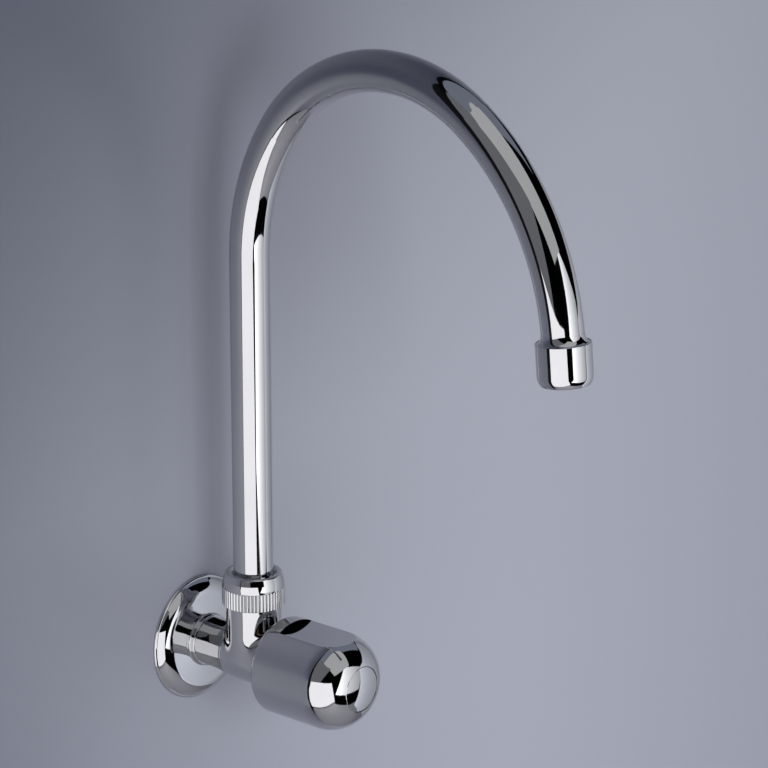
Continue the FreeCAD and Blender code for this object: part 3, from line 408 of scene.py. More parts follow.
def dark_room(floor):
    """Black boards round the stage, open only at the wall and what is behind it."""
    (x0, y0, z0), (x1, y1, z1) = ROOM_LOW, ROOM_HIGH

    def beside_wall(left, right, low, high):
        """Upright board at the room's back, next to the wall."""
        return ((left, y1, low), (right, y1, low), (right, y1, high), (left, y1, high))

    shut = [
        ((x0, y0, z0), (x1, y0, z0), (x1, y0, z1), (x0, y0, z1)),    # in front
        ((x0, y0, z0), (x0, y1, z0), (x0, y1, z1), (x0, y0, z1)),    # left
        ((x1, y0, z0), (x1, y1, z0), (x1, y1, z1), (x1, y0, z1)),    # right
        ((x0, y0, z1), (x1, y0, z1), (x1, y1, z1), (x0, y1, z1)),    # above
        ((x0, y0, z0), (x1, y0, z0), (x1, y1, z0), (x0, y1, z0)),    # below
        beside_wall(x0, WALL_EDGE, z0, z1),
        beside_wall(WALL_END, x1, z0, z1),
        beside_wall(WALL_EDGE, WALL_END, WALL_TOP, z1),
        beside_wall(WALL_EDGE, WALL_END, z0, floor),
    ]
    corners = [corner for board in shut for corner in board]
    mesh = bpy.data.meshes.new("stage_dark_room")
    mesh.from_pydata(corners, [], [range(4 * i, 4 * i + 4) for i in range(len(shut))])
    mesh.materials.append(painted("room_black", ROOM_BLACK, sheen=0.0, roughness=1.0)[0])
    room = placed("stage_dark_room", mesh)
    room.visible_camera = False


class TAP_OT_set_stage(Operator):
    """Put up the wall, the floor, the soft boxes and the boards"""
    bl_idname = "tap.set_stage"
    bl_label = "Set the stage"

    def execute(self, context):
        stage = context.scene.tap_stage
        low = stage.floor_height
        wall = placed("stage_wall", wall_mesh(low, wall_with_painted_shade(stage.wall_colour)))
        flat_panel("stage_floor", ((FLOOR_LEFT, FLOOR_FRONT, low), (FLOOR_RIGHT, FLOOR_FRONT, low),
                                   (FLOOR_RIGHT, 0, low), (FLOOR_LEFT, 0, low)),
                   pale_floor(stage.floor_colour))
        dark_room(low)
        side = flat_panel("stage_side_light", LEFT_BOX,
                          glowing("side_light", stage.side_strength, (1.0, 0.985, 1.0)))
        front = flat_panel("stage_front_light", FRONT_BOX,
                           glowing("front_light", stage.key_strength, (0.97, 0.98, 1.0),
                                   FADING["stage_front_light"]))
        lit = [side, front]
        for name, (corners, strength, tint) in BOARDS.items():
            lit.append(flat_panel(name, corners, glowing(name, strength, tint,
                                                         FADING.get(name))))
        for panel in lit:
            panel.visible_camera = False
        self.wash_the_wall(stage.wash_power)
        self.light_the_air(context.scene)
        context.scene.view_settings.view_transform = "Standard"
        return {"FINISHED"}

    @staticmethod
    def wash_the_wall(power):
        """Soft lamp from the left that the metal doesn't mirror."""
        lamp = placed("wall_wash", bpy.data.lights.new("wall_wash", "AREA"))
        lamp.data.size = WASH_SIZE
        lamp.data.energy = power
        lamp.location = WASH_AT
        aim = Vector(WASH_AIM) - lamp.location
        lamp.rotation_euler = aim.to_track_quat("-Z", "Y").to_euler()
        lamp.visible_glossy = False
        lamp.visible_camera = False

    @staticmethod
    def light_the_air(scene):
        """Pale surroundings, seen directly and in metal, that add next to no light."""
        world = bpy.data.worlds.new("studio_air")
        world.use_nodes = True
        tree = world.node_tree
        path = tree.nodes.new("ShaderNodeLightPath").outputs
        seen = computed(tree, "MAXIMUM", path["Is Camera Ray"], path["Is Glossy Ray"])
        seen = computed(tree, "MAXIMUM", seen, path["Is Transmission Ray"])
        strength = spread(tree, seen, AIR_FAINT, AIR_SEEN, start=0, end=1)
        tree.nodes["Background"].inputs["Color"].default_value = PALE
        tree.links.new(strength, tree.nodes["Background"].inputs["Strength"])
        scene.world = world


class TAP_OT_set_camera(Operator):
    """Stand the camera where the photograph was taken from"""
    bl_idname = "tap.set_camera"
    bl_label = "Set the camera"

    def execute(self, context):
        place = context.scene.tap_view
        turn, rise = place.azimuth, place.elevation
        back = Vector((math.sin(turn) * math.cos(rise), -math.cos(turn) * math.cos(rise),
                       math.sin(rise)))
        camera = placed("camera", bpy.data.cameras.new("camera"))
        camera.data.sensor_width = SENSOR_WIDTH
        camera.data.lens = place.lens
        camera.location = Vector(place.aim) + back * place.distance
        camera.rotation_euler = (-back).to_track_quat("-Z", "Y").to_euler()
        camera.data.clip_start, camera.data.clip_end = 0.01, 50
        context.scene.camera = camera
        return {"FINISHED"}


# ---------------------------------------------------------------- shaping tools

def make_piece(name, mesh, material, body, slot, *replaced):
    """Put a finished mesh in the scene, hang it on the empty of its body, and hide the pieces that
    it replaces.
    """
    mesh.name = name
    mesh.materials.clear()
    mesh.materials.append(material)
    piece = placed(name, mesh)
    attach(piece, body)
    if replaced:
        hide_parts(*replaced)
    return piece


def scratch(mesh):
    """Object that only lives while a shape is worked out."""
    return placed("scratch", mesh)


def applied(thing):
    """Mesh of an object with its modifiers applied; the object is removed."""
    graph = bpy.context.evaluated_depsgraph_get()
    mesh = bpy.data.meshes.new_from_object(thing.evaluated_get(graph))
    bpy.data.objects.remove(thing)
    return mesh


def on_valve_axis(across, height, out):
    """Point of the inlet and valve axis's own frame, in metres."""
    return Vector((across, -out, height)) * MM


def on_riser_axis(across, side, height):
    """Point of the riser axis's own frame, in metres."""
    return Vector((across, side - RISER_OUT, height)) * MM


def on_outlet(across, side, along):
    """Point of the outlet's own frame, in metres; upstream it bends with the pipe."""
    side -= min(along, 0) ** 2 / (2 * LAST_BEND)
    lean = math.radians(OUTLET_LEAN)
    out = OUTLET_OUT + side * math.cos(lean) + along * math.sin(lean)
    up = OUTLET_UP + side * math.sin(lean) - along * math.cos(lean)
    return Vector((across, -out, up)) * MM


def turned_mesh(profile, place, segments=96, ring=False):
    """Solid of revolution; profile is (radius, along) in mm, from axis to axis or as a ring."""
    made = bmesh.new()
    rows = []
    for radius, along in profile:
        if radius == 0:
            rows.append([made.verts.new(place(0, 0, along))])
        else:
            turn = [2 * math.pi * i / segments for i in range(segments)]
            rows.append([made.verts.new(place(radius * math.cos(a), radius * math.sin(a), along))
                         for a in turn])
    for low, high in zip(rows, rows[1:] + rows[:1] if ring else rows[1:]):
        for i in range(segments):
            j = (i + 1) % segments
            corners = [low[i % len(low)], low[j % len(low)], high[j % len(high)],
                       high[i % len(high)]]
            made.faces.new(list(dict.fromkeys(corners)))
    bmesh.ops.recalc_face_normals(made, faces=made.faces)
    mesh = bpy.data.meshes.new("turned")
    made.to_mesh(mesh)
    made.free()
    return mesh


def cut_by(mesh, cutter_mesh):
    """Mesh with another solid taken away."""
    cutter = scratch(cutter_mesh)
    thing = scratch(mesh)
    cut = thing.modifiers.new("cut", "BOOLEAN")
    cut.operation, cut.solver, cut.object = "DIFFERENCE", "EXACT", cutter
    result = applied(thing)
    bpy.data.objects.remove(cutter)
    return result


# ------------------------------------------------------------------- cast body

# All sizes in millimetres, out from the wall or up from the inlet's axis.
OUTWARD = np.array((1, -1, 1))      # from (x, y, z) to (across, out, up), and back
RISER_OUT = 37.59
TAIL_RADIUS = 11.8
BARREL_RADIUS = 13.6
SOCKET_RADIUS = 13.25
FLARE_START = 12.0       # where the tail begins to open towards the barrel
FLARE_BEND = 91.0        # radius of that curve
BARREL_END = 53.0
SOCKET_TOP = 35.5

BARREL_BLEND = 0.8       # how softly the tail's flare ends in the barrel
TAIL_BLEND = 1.7         # how softly the socket runs into the tail
FRONT_BLEND = 2.1        # how much more softly it runs into the barrel
BLEND_START = 29         # where that starts to grow
BLEND_LENGTH = 12

SKIN_GRID = 0.55
SKIN_STEPS = 8           # rounds that bring the grid's points onto the curve
SKIN_MOVE = 0.6          # longest move in one round
SKIN_NEAR = 0.02         # points this near the curve take its exact normals
SKIN_FACING = 0.9        # and faces whose slant agrees this well with them
MACHINED_EDGE = 35       # degrees from which an edge stays sharp

TAIL_BORE = 7
SEAT_BORE, SEAT_TOP = 6, 27
SEAT_RIM, SEAT_GROOVE = 7.5, 24.6
CHAMBER_RADIUS = 10
MOUTH_RADIUS, MOUTH_START = 10.5, 46
MOUTH_CHAMFER = 0.6
RISER_BORE = 8.3
BUSH_RADIUS, BUSH_SEAT = 11.05, 14.5
NUT_CORE, NUT_START = 13.1, 25.8    # the socket's thread, under the knurled nut
CLEAR = 40               # outside the casting

THREAD_CORE = 9.25
THREAD_CREST = 10.45
THREAD_PITCH = 1.814     # fourteen turns to the inch
THREAD_REACH = 17.0      # behind the wall
THREAD_SHOULDER = 3      # in front of the wall, where the tail's own radius starts
THREAD_RUNOUT = 1.2      # how much longer than the reach the ridge is


def soft_min(first, second, reach):
    """Smaller of two distances, rounded over where they meet."""
    share = np.clip(0.5 + 0.5 * (second - first) / reach, 0, 1)
    return second * (1 - share) + first * share - reach * share * (1 - share)


def cast_distance(points):
    """Distance of points (across, out, up) from the skin of the cast body, in mm."""
    across, out, up = points.T
    open_end = TAIL_RADIUS + np.clip(out - FLARE_START, 0, None) ** 2 / (2 * FLARE_BEND)
    radius = soft_min(open_end, np.full_like(out, BARREL_RADIUS), BARREL_BLEND)
    barrel = np.hypot(across, up) - radius
    socket = np.maximum(np.hypot(across, out - RISER_OUT) - SOCKET_RADIUS, -up)
    forward = np.clip((out - BLEND_START) / BLEND_LENGTH, 0, 1)
    softer = FRONT_BLEND * forward * forward * (3 - 2 * forward)
    return soft_min(barrel, socket, TAIL_BLEND + softer)


def cast_slope(points, step=0.01):
    """Direction in which that distance grows."""
    slopes = [(cast_distance(points + shift) - cast_distance(points - shift)) / (2 * step)
              for shift in step * np.eye(3)]
    return np.stack(slopes, axis=1)


def mesh_points(mesh):
    """Corners of a mesh as (across, out, up) in mm."""
    places = np.empty(len(mesh.vertices) * 3)
    mesh.vertices.foreach_get("co", places)
    return places.reshape(-1, 3) * OUTWARD / MM


def cast_skin():
    """Closed skin of the casting before it is bored: barrel, tail and socket flow together.

    Two rough solids give a grid of points, which then move onto the curve.
    """
    barrel = turned_mesh([(0, -THREAD_REACH - 1), (TAIL_RADIUS, -THREAD_REACH - 1),
                          (TAIL_RADIUS, FLARE_START + 4), (BARREL_RADIUS, 32),
                          (BARREL_RADIUS, BARREL_END + 2), (0, BARREL_END + 2)], on_valve_axis)
    socket = turned_mesh([(0, 0), (SOCKET_RADIUS, 0), (SOCKET_RADIUS, SOCKET_TOP + 1.5),
                          (0, SOCKET_TOP + 1.5)], on_riser_axis)
    both = bmesh.new()
    both.from_mesh(barrel)
    both.from_mesh(socket)
    both.to_mesh(barrel)
    both.free()
    thing = scratch(barrel)
    grid = thing.modifiers.new("grid", "REMESH")
    grid.mode, grid.voxel_size = "VOXEL", SKIN_GRID * MM
    mesh = applied(thing)

    points = mesh_points(mesh)
    middle = ((points[:, 1] > -THREAD_REACH) & (points[:, 1] < BARREL_END + 1)
              & (points[:, 2] < SOCKET_TOP + 0.8))     # all but the flat ends, which are cut off
    for _ in range(SKIN_STEPS):
        here = points[middle]
        slope = cast_slope(here)
        reach = cast_distance(here) / (slope ** 2).sum(axis=1)
        points[middle] = here - slope * np.clip(reach, -SKIN_MOVE, SKIN_MOVE)[:, None]
    mesh.vertices.foreach_set("co", (points * OUTWARD * MM).ravel())
    mesh.update()
    return mesh


def smooth_as_cast(mesh):
    """Give the skin the exact normals of its own curve, and keep machined edges sharp."""
    mesh.shade_smooth()
    mesh.set_sharp_from_angle(angle=math.radians(MACHINED_EDGE))
    points = mesh_points(mesh)
    slope = cast_slope(points)
    slope /= np.linalg.norm(slope, axis=1)[:, None]
    facing = slope * OUTWARD
    skin = np.abs(cast_distance(points)) < SKIN_NEAR
    normals = np.zeros((len(mesh.loops), 3))
    for face in mesh.polygons:
        corners = list(face.vertices)
        agreed = Vector(facing[corners].mean(axis=0)).dot(face.normal)
        if all(skin[corners]) and agreed > SKIN_FACING:
            normals[list(face.loop_indices)] = facing[corners]
    mesh.normals_split_custom_set(normals.tolist())


def bored_body():
    """The casting with its waterway, chamber, mouths and the thread's core turned into it."""
    waterway = turned_mesh([
        (0, -20), (CLEAR, -20), (CLEAR, THREAD_SHOULDER), (THREAD_CORE, THREAD_SHOULDER),
        (THREAD_CORE, -THREAD_REACH), (TAIL_BORE, -THREAD_REACH), (TAIL_BORE, 17),
        (SEAT_BORE, 19), (SEAT_BORE, SEAT_TOP), (SEAT_RIM, SEAT_TOP), (SEAT_RIM, SEAT_GROOVE),
        (CHAMBER_RADIUS, SEAT_GROOVE), (CHAMBER_RADIUS, MOUTH_START),
        (MOUTH_RADIUS, MOUTH_START), (MOUTH_RADIUS, BARREL_END),
        (BARREL_RADIUS - MOUTH_CHAMFER, BARREL_END),
        (BARREL_RADIUS, BARREL_END - MOUTH_CHAMFER), (CLEAR, BARREL_END - MOUTH_CHAMFER),
        (CLEAR, 60), (0, 60),
    ], on_valve_axis)
    riser = turned_mesh([
        (0, 0), (RISER_BORE, 0), (RISER_BORE, BUSH_SEAT), (BUSH_RADIUS, BUSH_SEAT),
        (BUSH_RADIUS, SOCKET_TOP), (NUT_CORE, SOCKET_TOP), (NUT_CORE, NUT_START),
        (30, NUT_START), (30, 45), (0, 45),
    ], on_riser_axis)
    mesh = cut_by(cut_by(cast_skin(), waterway), riser)
    smooth_as_cast(mesh)
    return mesh


# ---------------------------------------------------------------------- outlet

# Sizes in millimetres; along runs down the stream from the end of the pipe's last bend.
OUTLET_OUT = 220.50
OUTLET_UP = 188.94
OUTLET_LEAN = 5.14       # degrees from plumb
LAST_BEND = 123.48       # radius of the pipe's last bend
PIPE_RADIUS = 9.5
PIPE_BORE = 8.4
PIPE_END = 5.5

THROAT_RADIUS = 11.6     # where the fitting's flare disappears in the aerator
THROAT_HEIGHT = 4.2
FITTING_THREAD = 10.8
FITTING_END = 9

AERATOR_RADIUS = 12.32
AERATOR_FOOT = 18.25
FOOT_START = 13.9        # start of the rounded foot
FOOT_BEND = 7.6
SHELL_THREAD, SHELL_SHOULDER = 10.95, 9.4
INSERT_RADIUS, INSERT_END = 10.35, 16.6
LIP_RADIUS = 9.4         # mouth of the shell, which holds the insert
TURNED_EDGE = 40         # degrees from which an edge stays sharp


def flare(low, high, height, steps=14):
    """Hollow quarter-ellipse from the pipe's side to the fitting's shoulder."""
    turns = [math.pi / 2 * i / steps for i in range(steps + 1)]
    return [(high - (high - low) * math.cos(turn), height * (math.sin(turn) - 1))
            for turn in turns]


def rounded_foot(radius, start, bend, end, steps=12):
    """Arc that leaves a cylinder of a radius at start and pulls in until end."""
    reaches = [(end - start) * i / steps for i in range(steps + 1)]
    return [(radius - bend + math.sqrt(bend ** 2 - reach ** 2), start + reach)
            for reach in reaches]


def fitting_mesh():
    """Fitting brazed to the pipe: a flared throat, and the thread that carries the aerator."""
    profile = [
        *flare(PIPE_RADIUS + 0.02, THROAT_RADIUS, THROAT_HEIGHT), (THROAT_RADIUS, 0.9),
        (FITTING_THREAD, 1.0), (FITTING_THREAD, FITTING_END - 0.5),
        (FITTING_THREAD - 0.4, FITTING_END), (PIPE_BORE, FITTING_END), (PIPE_BORE, PIPE_END),
        (PIPE_RADIUS, PIPE_END),
    ]
    return turned_mesh(profile, on_outlet, ring=True)


def shell_mesh():
    """Shell of the aerator: thin rounded rim, plain cylinder and a foot that pulls in."""
    foot = rounded_foot(AERATOR_RADIUS, FOOT_START, FOOT_BEND, AERATOR_FOOT - 0.1)
    profile = [
        (THROAT_RADIUS + 0.1, 0.1), (THROAT_RADIUS + 0.16, -0.12), (AERATOR_RADIUS - 0.36, -0.22),
        (AERATOR_RADIUS - 0.2, -0.22), (AERATOR_RADIUS - 0.06, -0.14), (AERATOR_RADIUS, 0.02),
        (AERATOR_RADIUS, 0.1), (AERATOR_RADIUS, FOOT_START - 0.1), *foot,
        (foot[-1][0] - 0.14, AERATOR_FOOT), (LIP_RADIUS + 0.1, AERATOR_FOOT),
        (LIP_RADIUS, AERATOR_FOOT - 0.1), (LIP_RADIUS, INSERT_END), (INSERT_RADIUS, INSERT_END),
        (INSERT_RADIUS, SHELL_SHOULDER), (SHELL_THREAD, SHELL_SHOULDER), (SHELL_THREAD, 1.2),
        (THROAT_RADIUS + 0.1, 1.1),
    ]
    return turned_mesh(profile, on_outlet, ring=True)


# --------------------------------------------------------------- geometry nodes

# Shares of the thread's pitch and depth, and of the wire's thickness.
RIDGE_FOOT = 0.47        # half width at the foot, of the pitch
RIDGE_CREST = 0.07       # half width at the crest, of the pitch
RIDGE_SUNK = 0.25        # how far the foot goes into the core, of the depth
RIDGE_STEPS = 48         # in one turn
WIRE_STEPS = 6.0         # between two crossings
WIRE_SHARE = 0.92        # the wire's radius, of the height of its waves
SCREEN_EDGE = 0.3 * MM   # left free round the woven screen
SCREEN_SPACING = 0.85 * MM
SCREEN_WIRE = 0.16 * MM


class Recipe:
    """Builds one Geometry Nodes tree."""

    def __init__(self, name, sizes):
        self.group = bpy.data.node_groups.new(name, "GeometryNodeTree")
        face = self.group.interface
        face.new_socket("Geometry", in_out="INPUT", socket_type="NodeSocketGeometry")
        face.new_socket("Geometry", in_out="OUTPUT", socket_type="NodeSocketGeometry")
        for label, (kind, default) in sizes.items():
            face.new_socket(label, in_out="INPUT", socket_type=kind).default_value = default
        self.given = self.group.nodes.new("NodeGroupInput").outputs
        self.end = self.group.nodes.new("NodeGroupOutput")

    def add(self, kind, settings=None, **inputs):
        """Add a node, set its options, and feed its inputs by name or by number."""
        made = self.group.nodes.new(kind)
        for name, value in (settings or {}).items():
            setattr(made, name, value)
        for name, value in inputs.items():
            number = name[2:] if name.startswith("at") and name[2:].isdigit() else None
            socket = made.inputs[int(number) if number else name.replace("_", " ")]
            if isinstance(value, bpy.types.NodeSocket):
                self.group.links.new(value, socket)
            else:
                socket.default_value = value
        return made

    def maths(self, operation, first, second=0.0):
        """One step of arithmetic."""
        return self.add("ShaderNodeMath", {"operation": operation}, at0=first,
                        at1=second).outputs[0]

    def finish(self, geometry, material):
        """Realize what is instanced, give it its material, and end the tree."""
        real = self.add("GeometryNodeRealizeInstances", Geometry=geometry)
        done = self.add("GeometryNodeSetMaterial", Geometry=real.outputs[0], Material=material)
        self.group.links.new(done.outputs[0], self.end.inputs[0])

    def grown(self, values):
        """Run the tree on an empty mesh with sizes by name, and return the mesh."""
        thing = scratch(bpy.data.meshes.new("seed"))
        grow = thing.modifiers.new("grow", "NODES")
        grow.node_group = self.group
        for item in self.group.interface.items_tree:
            if item.in_out == "INPUT" and item.name in values:
                grow[item.identifier] = values[item.name]
        return applied(thing)


def helix_recipe(material):
    """A ridge of triangular section that climbs round a core, as a pipe thread does."""
    made = Recipe("thread_ridge", {
        "Core": ("NodeSocketFloat", THREAD_CORE * MM),
        "Depth": ("NodeSocketFloat", (THREAD_CREST - THREAD_CORE) * MM),
        "Pitch": ("NodeSocketFloat", THREAD_PITCH * MM), "Turns": ("NodeSocketFloat", 9.0)})
    core, depth, pitch, turns = (made.given[name] for name in ("Core", "Depth", "Pitch", "Turns"))
    climb = made.maths("MULTIPLY", pitch, turns)
    spiral = made.add("GeometryNodeCurveSpiral", Resolution=RIDGE_STEPS, Rotations=turns,
                      Start_Radius=core, End_Radius=core, Height=climb)
    upright = made.add("GeometryNodeSetCurveNormal", {"mode": "Z_UP"}, Curve=spiral.outputs[0])
    half = made.maths("MULTIPLY", pitch, RIDGE_FOOT)
    sunk = made.maths("MULTIPLY", depth, -RIDGE_SUNK)
    flat = made.maths("MULTIPLY", pitch, RIDGE_CREST)
    low = made.add("ShaderNodeCombineXYZ", X=sunk, Y=made.maths("MULTIPLY", half, -1.0))
    crest_low = made.add("ShaderNodeCombineXYZ", X=depth, Y=made.maths("MULTIPLY", flat, -1.0))
    crest_high = made.add("ShaderNodeCombineXYZ", X=depth, Y=flat)
    high = made.add("ShaderNodeCombineXYZ", X=sunk, Y=half)
    section = made.add("GeometryNodeCurvePrimitiveQuadrilateral", {"mode": "POINTS"},
                       Point_1=low.outputs[0], Point_2=crest_low.outputs[0],
                       Point_3=crest_high.outputs[0], Point_4=high.outputs[0])
    ridge = made.add("GeometryNodeCurveToMesh", Curve=upright.outputs[0],
                     Profile_Curve=section.outputs[0], Fill_Caps=True)
    made.finish(ridge.outputs[0], material)
    return made


def weave_recipe(material):
    """A round of woven wire: two crossed sets of wavy wires, over and under."""
    made = Recipe("wire_weave", {
        "Radius": ("NodeSocketFloat", 10.0 * MM), "Spacing": ("NodeSocketFloat", SCREEN_SPACING),
        "Wire": ("NodeSocketFloat", SCREEN_WIRE)})
    radius, spacing, wave_height = (made.given[name] for name in ("Radius", "Spacing", "Wire"))
    count = made.maths("FLOOR", made.maths("DIVIDE", radius, spacing))
    total = made.maths("ADD", made.maths("MULTIPLY", count, 2.0), 1.0)
    steps = made.maths("ADD", made.maths("MULTIPLY", total, WIRE_STEPS), 1.0)
    sets = made.add("GeometryNodeJoinGeometry")
    reach = made.maths("MULTIPLY", spacing, made.maths("ADD", count, 0.5))
    first = made.maths("MULTIPLY", made.maths("MULTIPLY", spacing, count), -1.0)
    row = made.add("GeometryNodeMeshLine", {"mode": "OFFSET"}, Count=total,
                   Start_Location=made.add("ShaderNodeCombineXYZ", Y=first).outputs[0],
                   Offset=made.add("ShaderNodeCombineXYZ", Y=spacing).outputs[0])
    wire = made.add("GeometryNodeCurvePrimitiveLine",
                    Start=made.add("ShaderNodeCombineXYZ",
                                   X=made.maths("MULTIPLY", reach, -1.0)).outputs[0],
                    End=made.add("ShaderNodeCombineXYZ", X=reach).outputs[0])
    dense = made.add("GeometryNodeResampleCurve", Curve=wire.outputs[0], Count=steps)
    laid = made.add("GeometryNodeInstanceOnPoints", Points=row.outputs[0],
                    Instance=dense.outputs[0])
    loose = made.add("GeometryNodeRealizeInstances", Geometry=laid.outputs[0])
    for turn, sign in ((0.0, 1.0), (math.pi / 2, -1.0)):
        place = made.add("ShaderNodeSeparateXYZ", Vector=made.add("GeometryNodeInputPosition")
                         .outputs[0]).outputs
        along = made.maths("DIVIDE", place["X"], spacing)
        beside = made.maths("DIVIDE", place["Y"], spacing)
        wave = made.maths("COSINE", made.maths("MULTIPLY", made.maths("ADD", along, beside),
                                               math.pi))
        lift = made.maths("MULTIPLY", made.maths("MULTIPLY", wave, wave_height), sign)
        waved = made.add("GeometryNodeSetPosition", Geometry=loose.outputs[0],
                         Offset=made.add("ShaderNodeCombineXYZ", Z=lift).outputs[0])
        turned = made.add("GeometryNodeTransform", Geometry=waved.outputs[0],
                          Rotation=(0.0, 0.0, turn))
        made.group.links.new(turned.outputs[0], sets.inputs[0])
    where = made.add("ShaderNodeVectorMath", {"operation": "LENGTH"},
                     at0=made.add("GeometryNodeInputPosition").outputs[0])
    outside = made.add("FunctionNodeCompare", {"data_type": "FLOAT", "operation": "GREATER_THAN"},
                       A=where.outputs["Value"], B=radius)
    trimmed = made.add("GeometryNodeDeleteGeometry", {"domain": "POINT"},
                       Geometry=sets.outputs[0], Selection=outside.outputs[0])
    section = made.add("GeometryNodeCurvePrimitiveCircle", Resolution=6,
                       Radius=made.maths("MULTIPLY", wave_height, WIRE_SHARE))
    woven = made.add("GeometryNodeCurveToMesh", Curve=trimmed.outputs[0],
                     Profile_Curve=section.outputs[0], Fill_Caps=True)
    made.finish(woven.outputs[0], material)
    return made


# ------------------------------------------------------------------- operators

# Finish of each piece that keeps the frame's own shape.
FINISHES = {
    "tube": ("spout_pipe",),
    "polished": ("index_cap", "spout_nut", "wall_flange"),
    "cast": ("knob",),
    "brass": ("bonnet", "spindle", "valve_piston", "seat_washer_nut", "spout_bush",
              "thrust_washer"),
    "steel": ("handle_screw", "spindle_clip"),
    "rubber": ("spindle_seal_inner", "spindle_seal_outer", "spout_seal_lower",
               "spout_seal_upper", "seat_washer", "aerator_washer"),
    "fibre": ("bonnet_gasket",),
    "bearing": ("spout_bearing_ring",),
    "insert": ("aerator_insert",),
}


class TAP_OT_finish_pieces(Operator):
    """Give the frame's pieces their metal, rubber, fibre or plastic"""
    bl_idname = "tap.finish_pieces"
    bl_label = "Finish the pieces"

    def execute(self, context):
        look = context.scene.tap_look
        finishes = {
            "tube": chrome("chrome_tube", look, 12 * MICRON, 22, (1, 1, 0.35)),
            "polished": chrome("chrome_polished", look, 3 * MICRON, 120),
            "cast": chrome("chrome_cast", look, 10 * MICRON, 70),
            "brass": turned_metal("brass_turned", BRASS, "Y", 0.25 * MM, 0.3),
            "steel": turned_metal("steel_turned", STEEL, "Y", 0.2 * MM, 0.25),
            "rubber": moulded("rubber_black", (0.022, 0.022, 0.024), 0.62, 3000, 10 * MICRON),
            "fibre": moulded("fibre_red", (0.28, 0.085, 0.045), 0.8, 2200, 30 * MICRON),
            "bearing": moulded("plastic_bearing", (0.72, 0.71, 0.67), 0.38, 1600, 4 * MICRON),
            "insert": moulded("plastic_insert", (0.66, 0.67, 0.68), 0.33, 1600, 4 * MICRON),
        }
        for finish, names in FINISHES.items():
            for name in names:
                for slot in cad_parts[name].material_slots:
                    slot.material = finishes[finish]
        return {"FINISHED"}


class TAP_OT_cast_body(Operator):
    """Make the cast body: flared tail, barrel and socket that flow together"""
    bl_idname = "tap.cast_body"
    bl_label = "Cast the body"

    def execute(self, context):
        finish = chrome("chrome_body", context.scene.tap_look, 8 * MICRON, 80)
        make_piece("cast_body", bored_body(), finish, "tap_body", "chrome", "valve_body")
        return {"FINISHED"}


class TAP_OT_turn_outlet(Operator):
    """Turn the outlet's fitting with its flared throat, and the aerator's shell"""
    bl_idname = "tap.turn_outlet"
    bl_label = "Turn the outlet"

    def execute(self, context):
        finish = chrome("chrome_outlet", context.scene.tap_look, 3 * MICRON, 120)
        for name, mesh, node_name in (("outlet_throat", fitting_mesh(), "spout_outlet"),
                                      ("aerator_shell", shell_mesh(), "aerator_housing")):
            mesh.shade_smooth()
            mesh.set_sharp_from_angle(angle=math.radians(TURNED_EDGE))
            make_piece(name, mesh, finish, "spout", "chrome", node_name)
        return {"FINISHED"}


class TAP_OT_cut_thread(Operator):
    """Cut the half-inch thread of the inlet behind the wall"""
    bl_idname = "tap.cut_thread"
    bl_label = "Cut the inlet thread"

    def execute(self, context):
        brass = turned_metal("brass_thread", BRASS, "Y", 0.25 * MM, 0.3)
        turns = (THREAD_REACH + THREAD_RUNOUT) / THREAD_PITCH
        mesh = helix_recipe(brass).grown({
            "Core": THREAD_CORE * MM, "Depth": (THREAD_CREST - THREAD_CORE) * MM,
            "Pitch": THREAD_PITCH * MM, "Turns": turns})
        lay = Matrix.Translation(on_valve_axis(0, 0, -THREAD_REACH + THREAD_PITCH / 2))
        mesh.transform(lay @ Matrix.Rotation(math.radians(90), 4, "X"))
        make_piece("inlet_thread", mesh, brass, "tap_body", "brass")
        return {"FINISHED"}


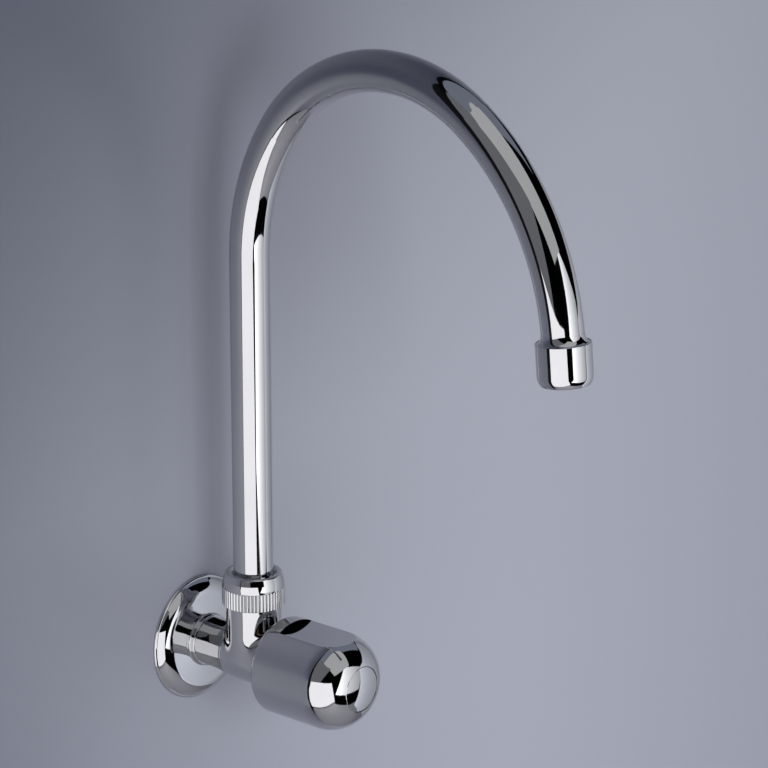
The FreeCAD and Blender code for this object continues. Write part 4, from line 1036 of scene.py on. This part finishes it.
class TAP_OT_weave_screen(Operator):
    """Weave the wire screen that closes the aerator"""
    bl_idname = "tap.weave_screen"
    bl_label = "Weave the aerator's screen"

    def execute(self, context):
        wire = turned_metal("steel_wire", STEEL, "X", 0.2 * MM, 0.22)
        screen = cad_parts["aerator_screen"]
        corners = np.array([tuple(v.co) for v in screen.data.vertices])
        middle = corners.mean(axis=0)
        _, _, axes = np.linalg.svd(corners - middle, full_matrices=False)
        facing = Vector(axes[2])
        if facing.z > 0:
            facing.negate()
        reach = np.linalg.norm(np.cross(corners - middle, axes[2]), axis=1).max()
        mesh = weave_recipe(wire).grown({"Radius": float(reach) - SCREEN_EDGE,
                                         "Spacing": SCREEN_SPACING, "Wire": SCREEN_WIRE})
        turn = facing.to_track_quat("Z", "Y").to_matrix().to_4x4()
        mesh.transform(Matrix.Translation(Vector(middle)) @ turn)
        make_piece("woven_screen", mesh, wire, "spout", "steel_mesh", "aerator_screen")
        return {"FINISHED"}


class TAP_PT_sidebar(Panel):
    """Lists the steps in the order that they run"""
    bl_idname = "TAP_PT_sidebar"
    bl_label = "Wall Tap"
    bl_space_type = "VIEW_3D"
    bl_region_type = "UI"
    bl_category = "Wall Tap"

    def draw(self, context):
        for step in STEPS:
            self.layout.operator(step.bl_idname)
        for group in GROUPS:
            box = self.layout.box()
            box.label(text=group.__doc__)
            for name in group.__annotations__:
                box.prop(getattr(context.scene, GROUPS[group]), name)


GROUPS = {TapLook: "tap_look", TapView: "tap_view", TapStage: "tap_stage"}
STEPS = (TAP_OT_set_camera, TAP_OT_set_stage, TAP_OT_finish_pieces, TAP_OT_cast_body,
         TAP_OT_turn_outlet, TAP_OT_cut_thread, TAP_OT_weave_screen)


def register():
    """Add the classes to Blender, and the groups of sizes to the scene."""
    for item in (*GROUPS, *STEPS, TAP_PT_sidebar):
        bpy.utils.register_class(item)
    for group, name in GROUPS.items():
        setattr(bpy.types.Scene, name, PointerProperty(type=group))


def unregister():
    """Take them away again."""
    for name in GROUPS.values():
        delattr(bpy.types.Scene, name)
    for item in reversed((*GROUPS, *STEPS, TAP_PT_sidebar)):
        bpy.utils.unregister_class(item)


def main():
    """Register the classes, and run every step."""
    register()
    for step in STEPS:
        group, name = step.bl_idname.split(".")
        getattr(getattr(bpy.ops, group), name)()


if __name__ == "__main__":
    main()
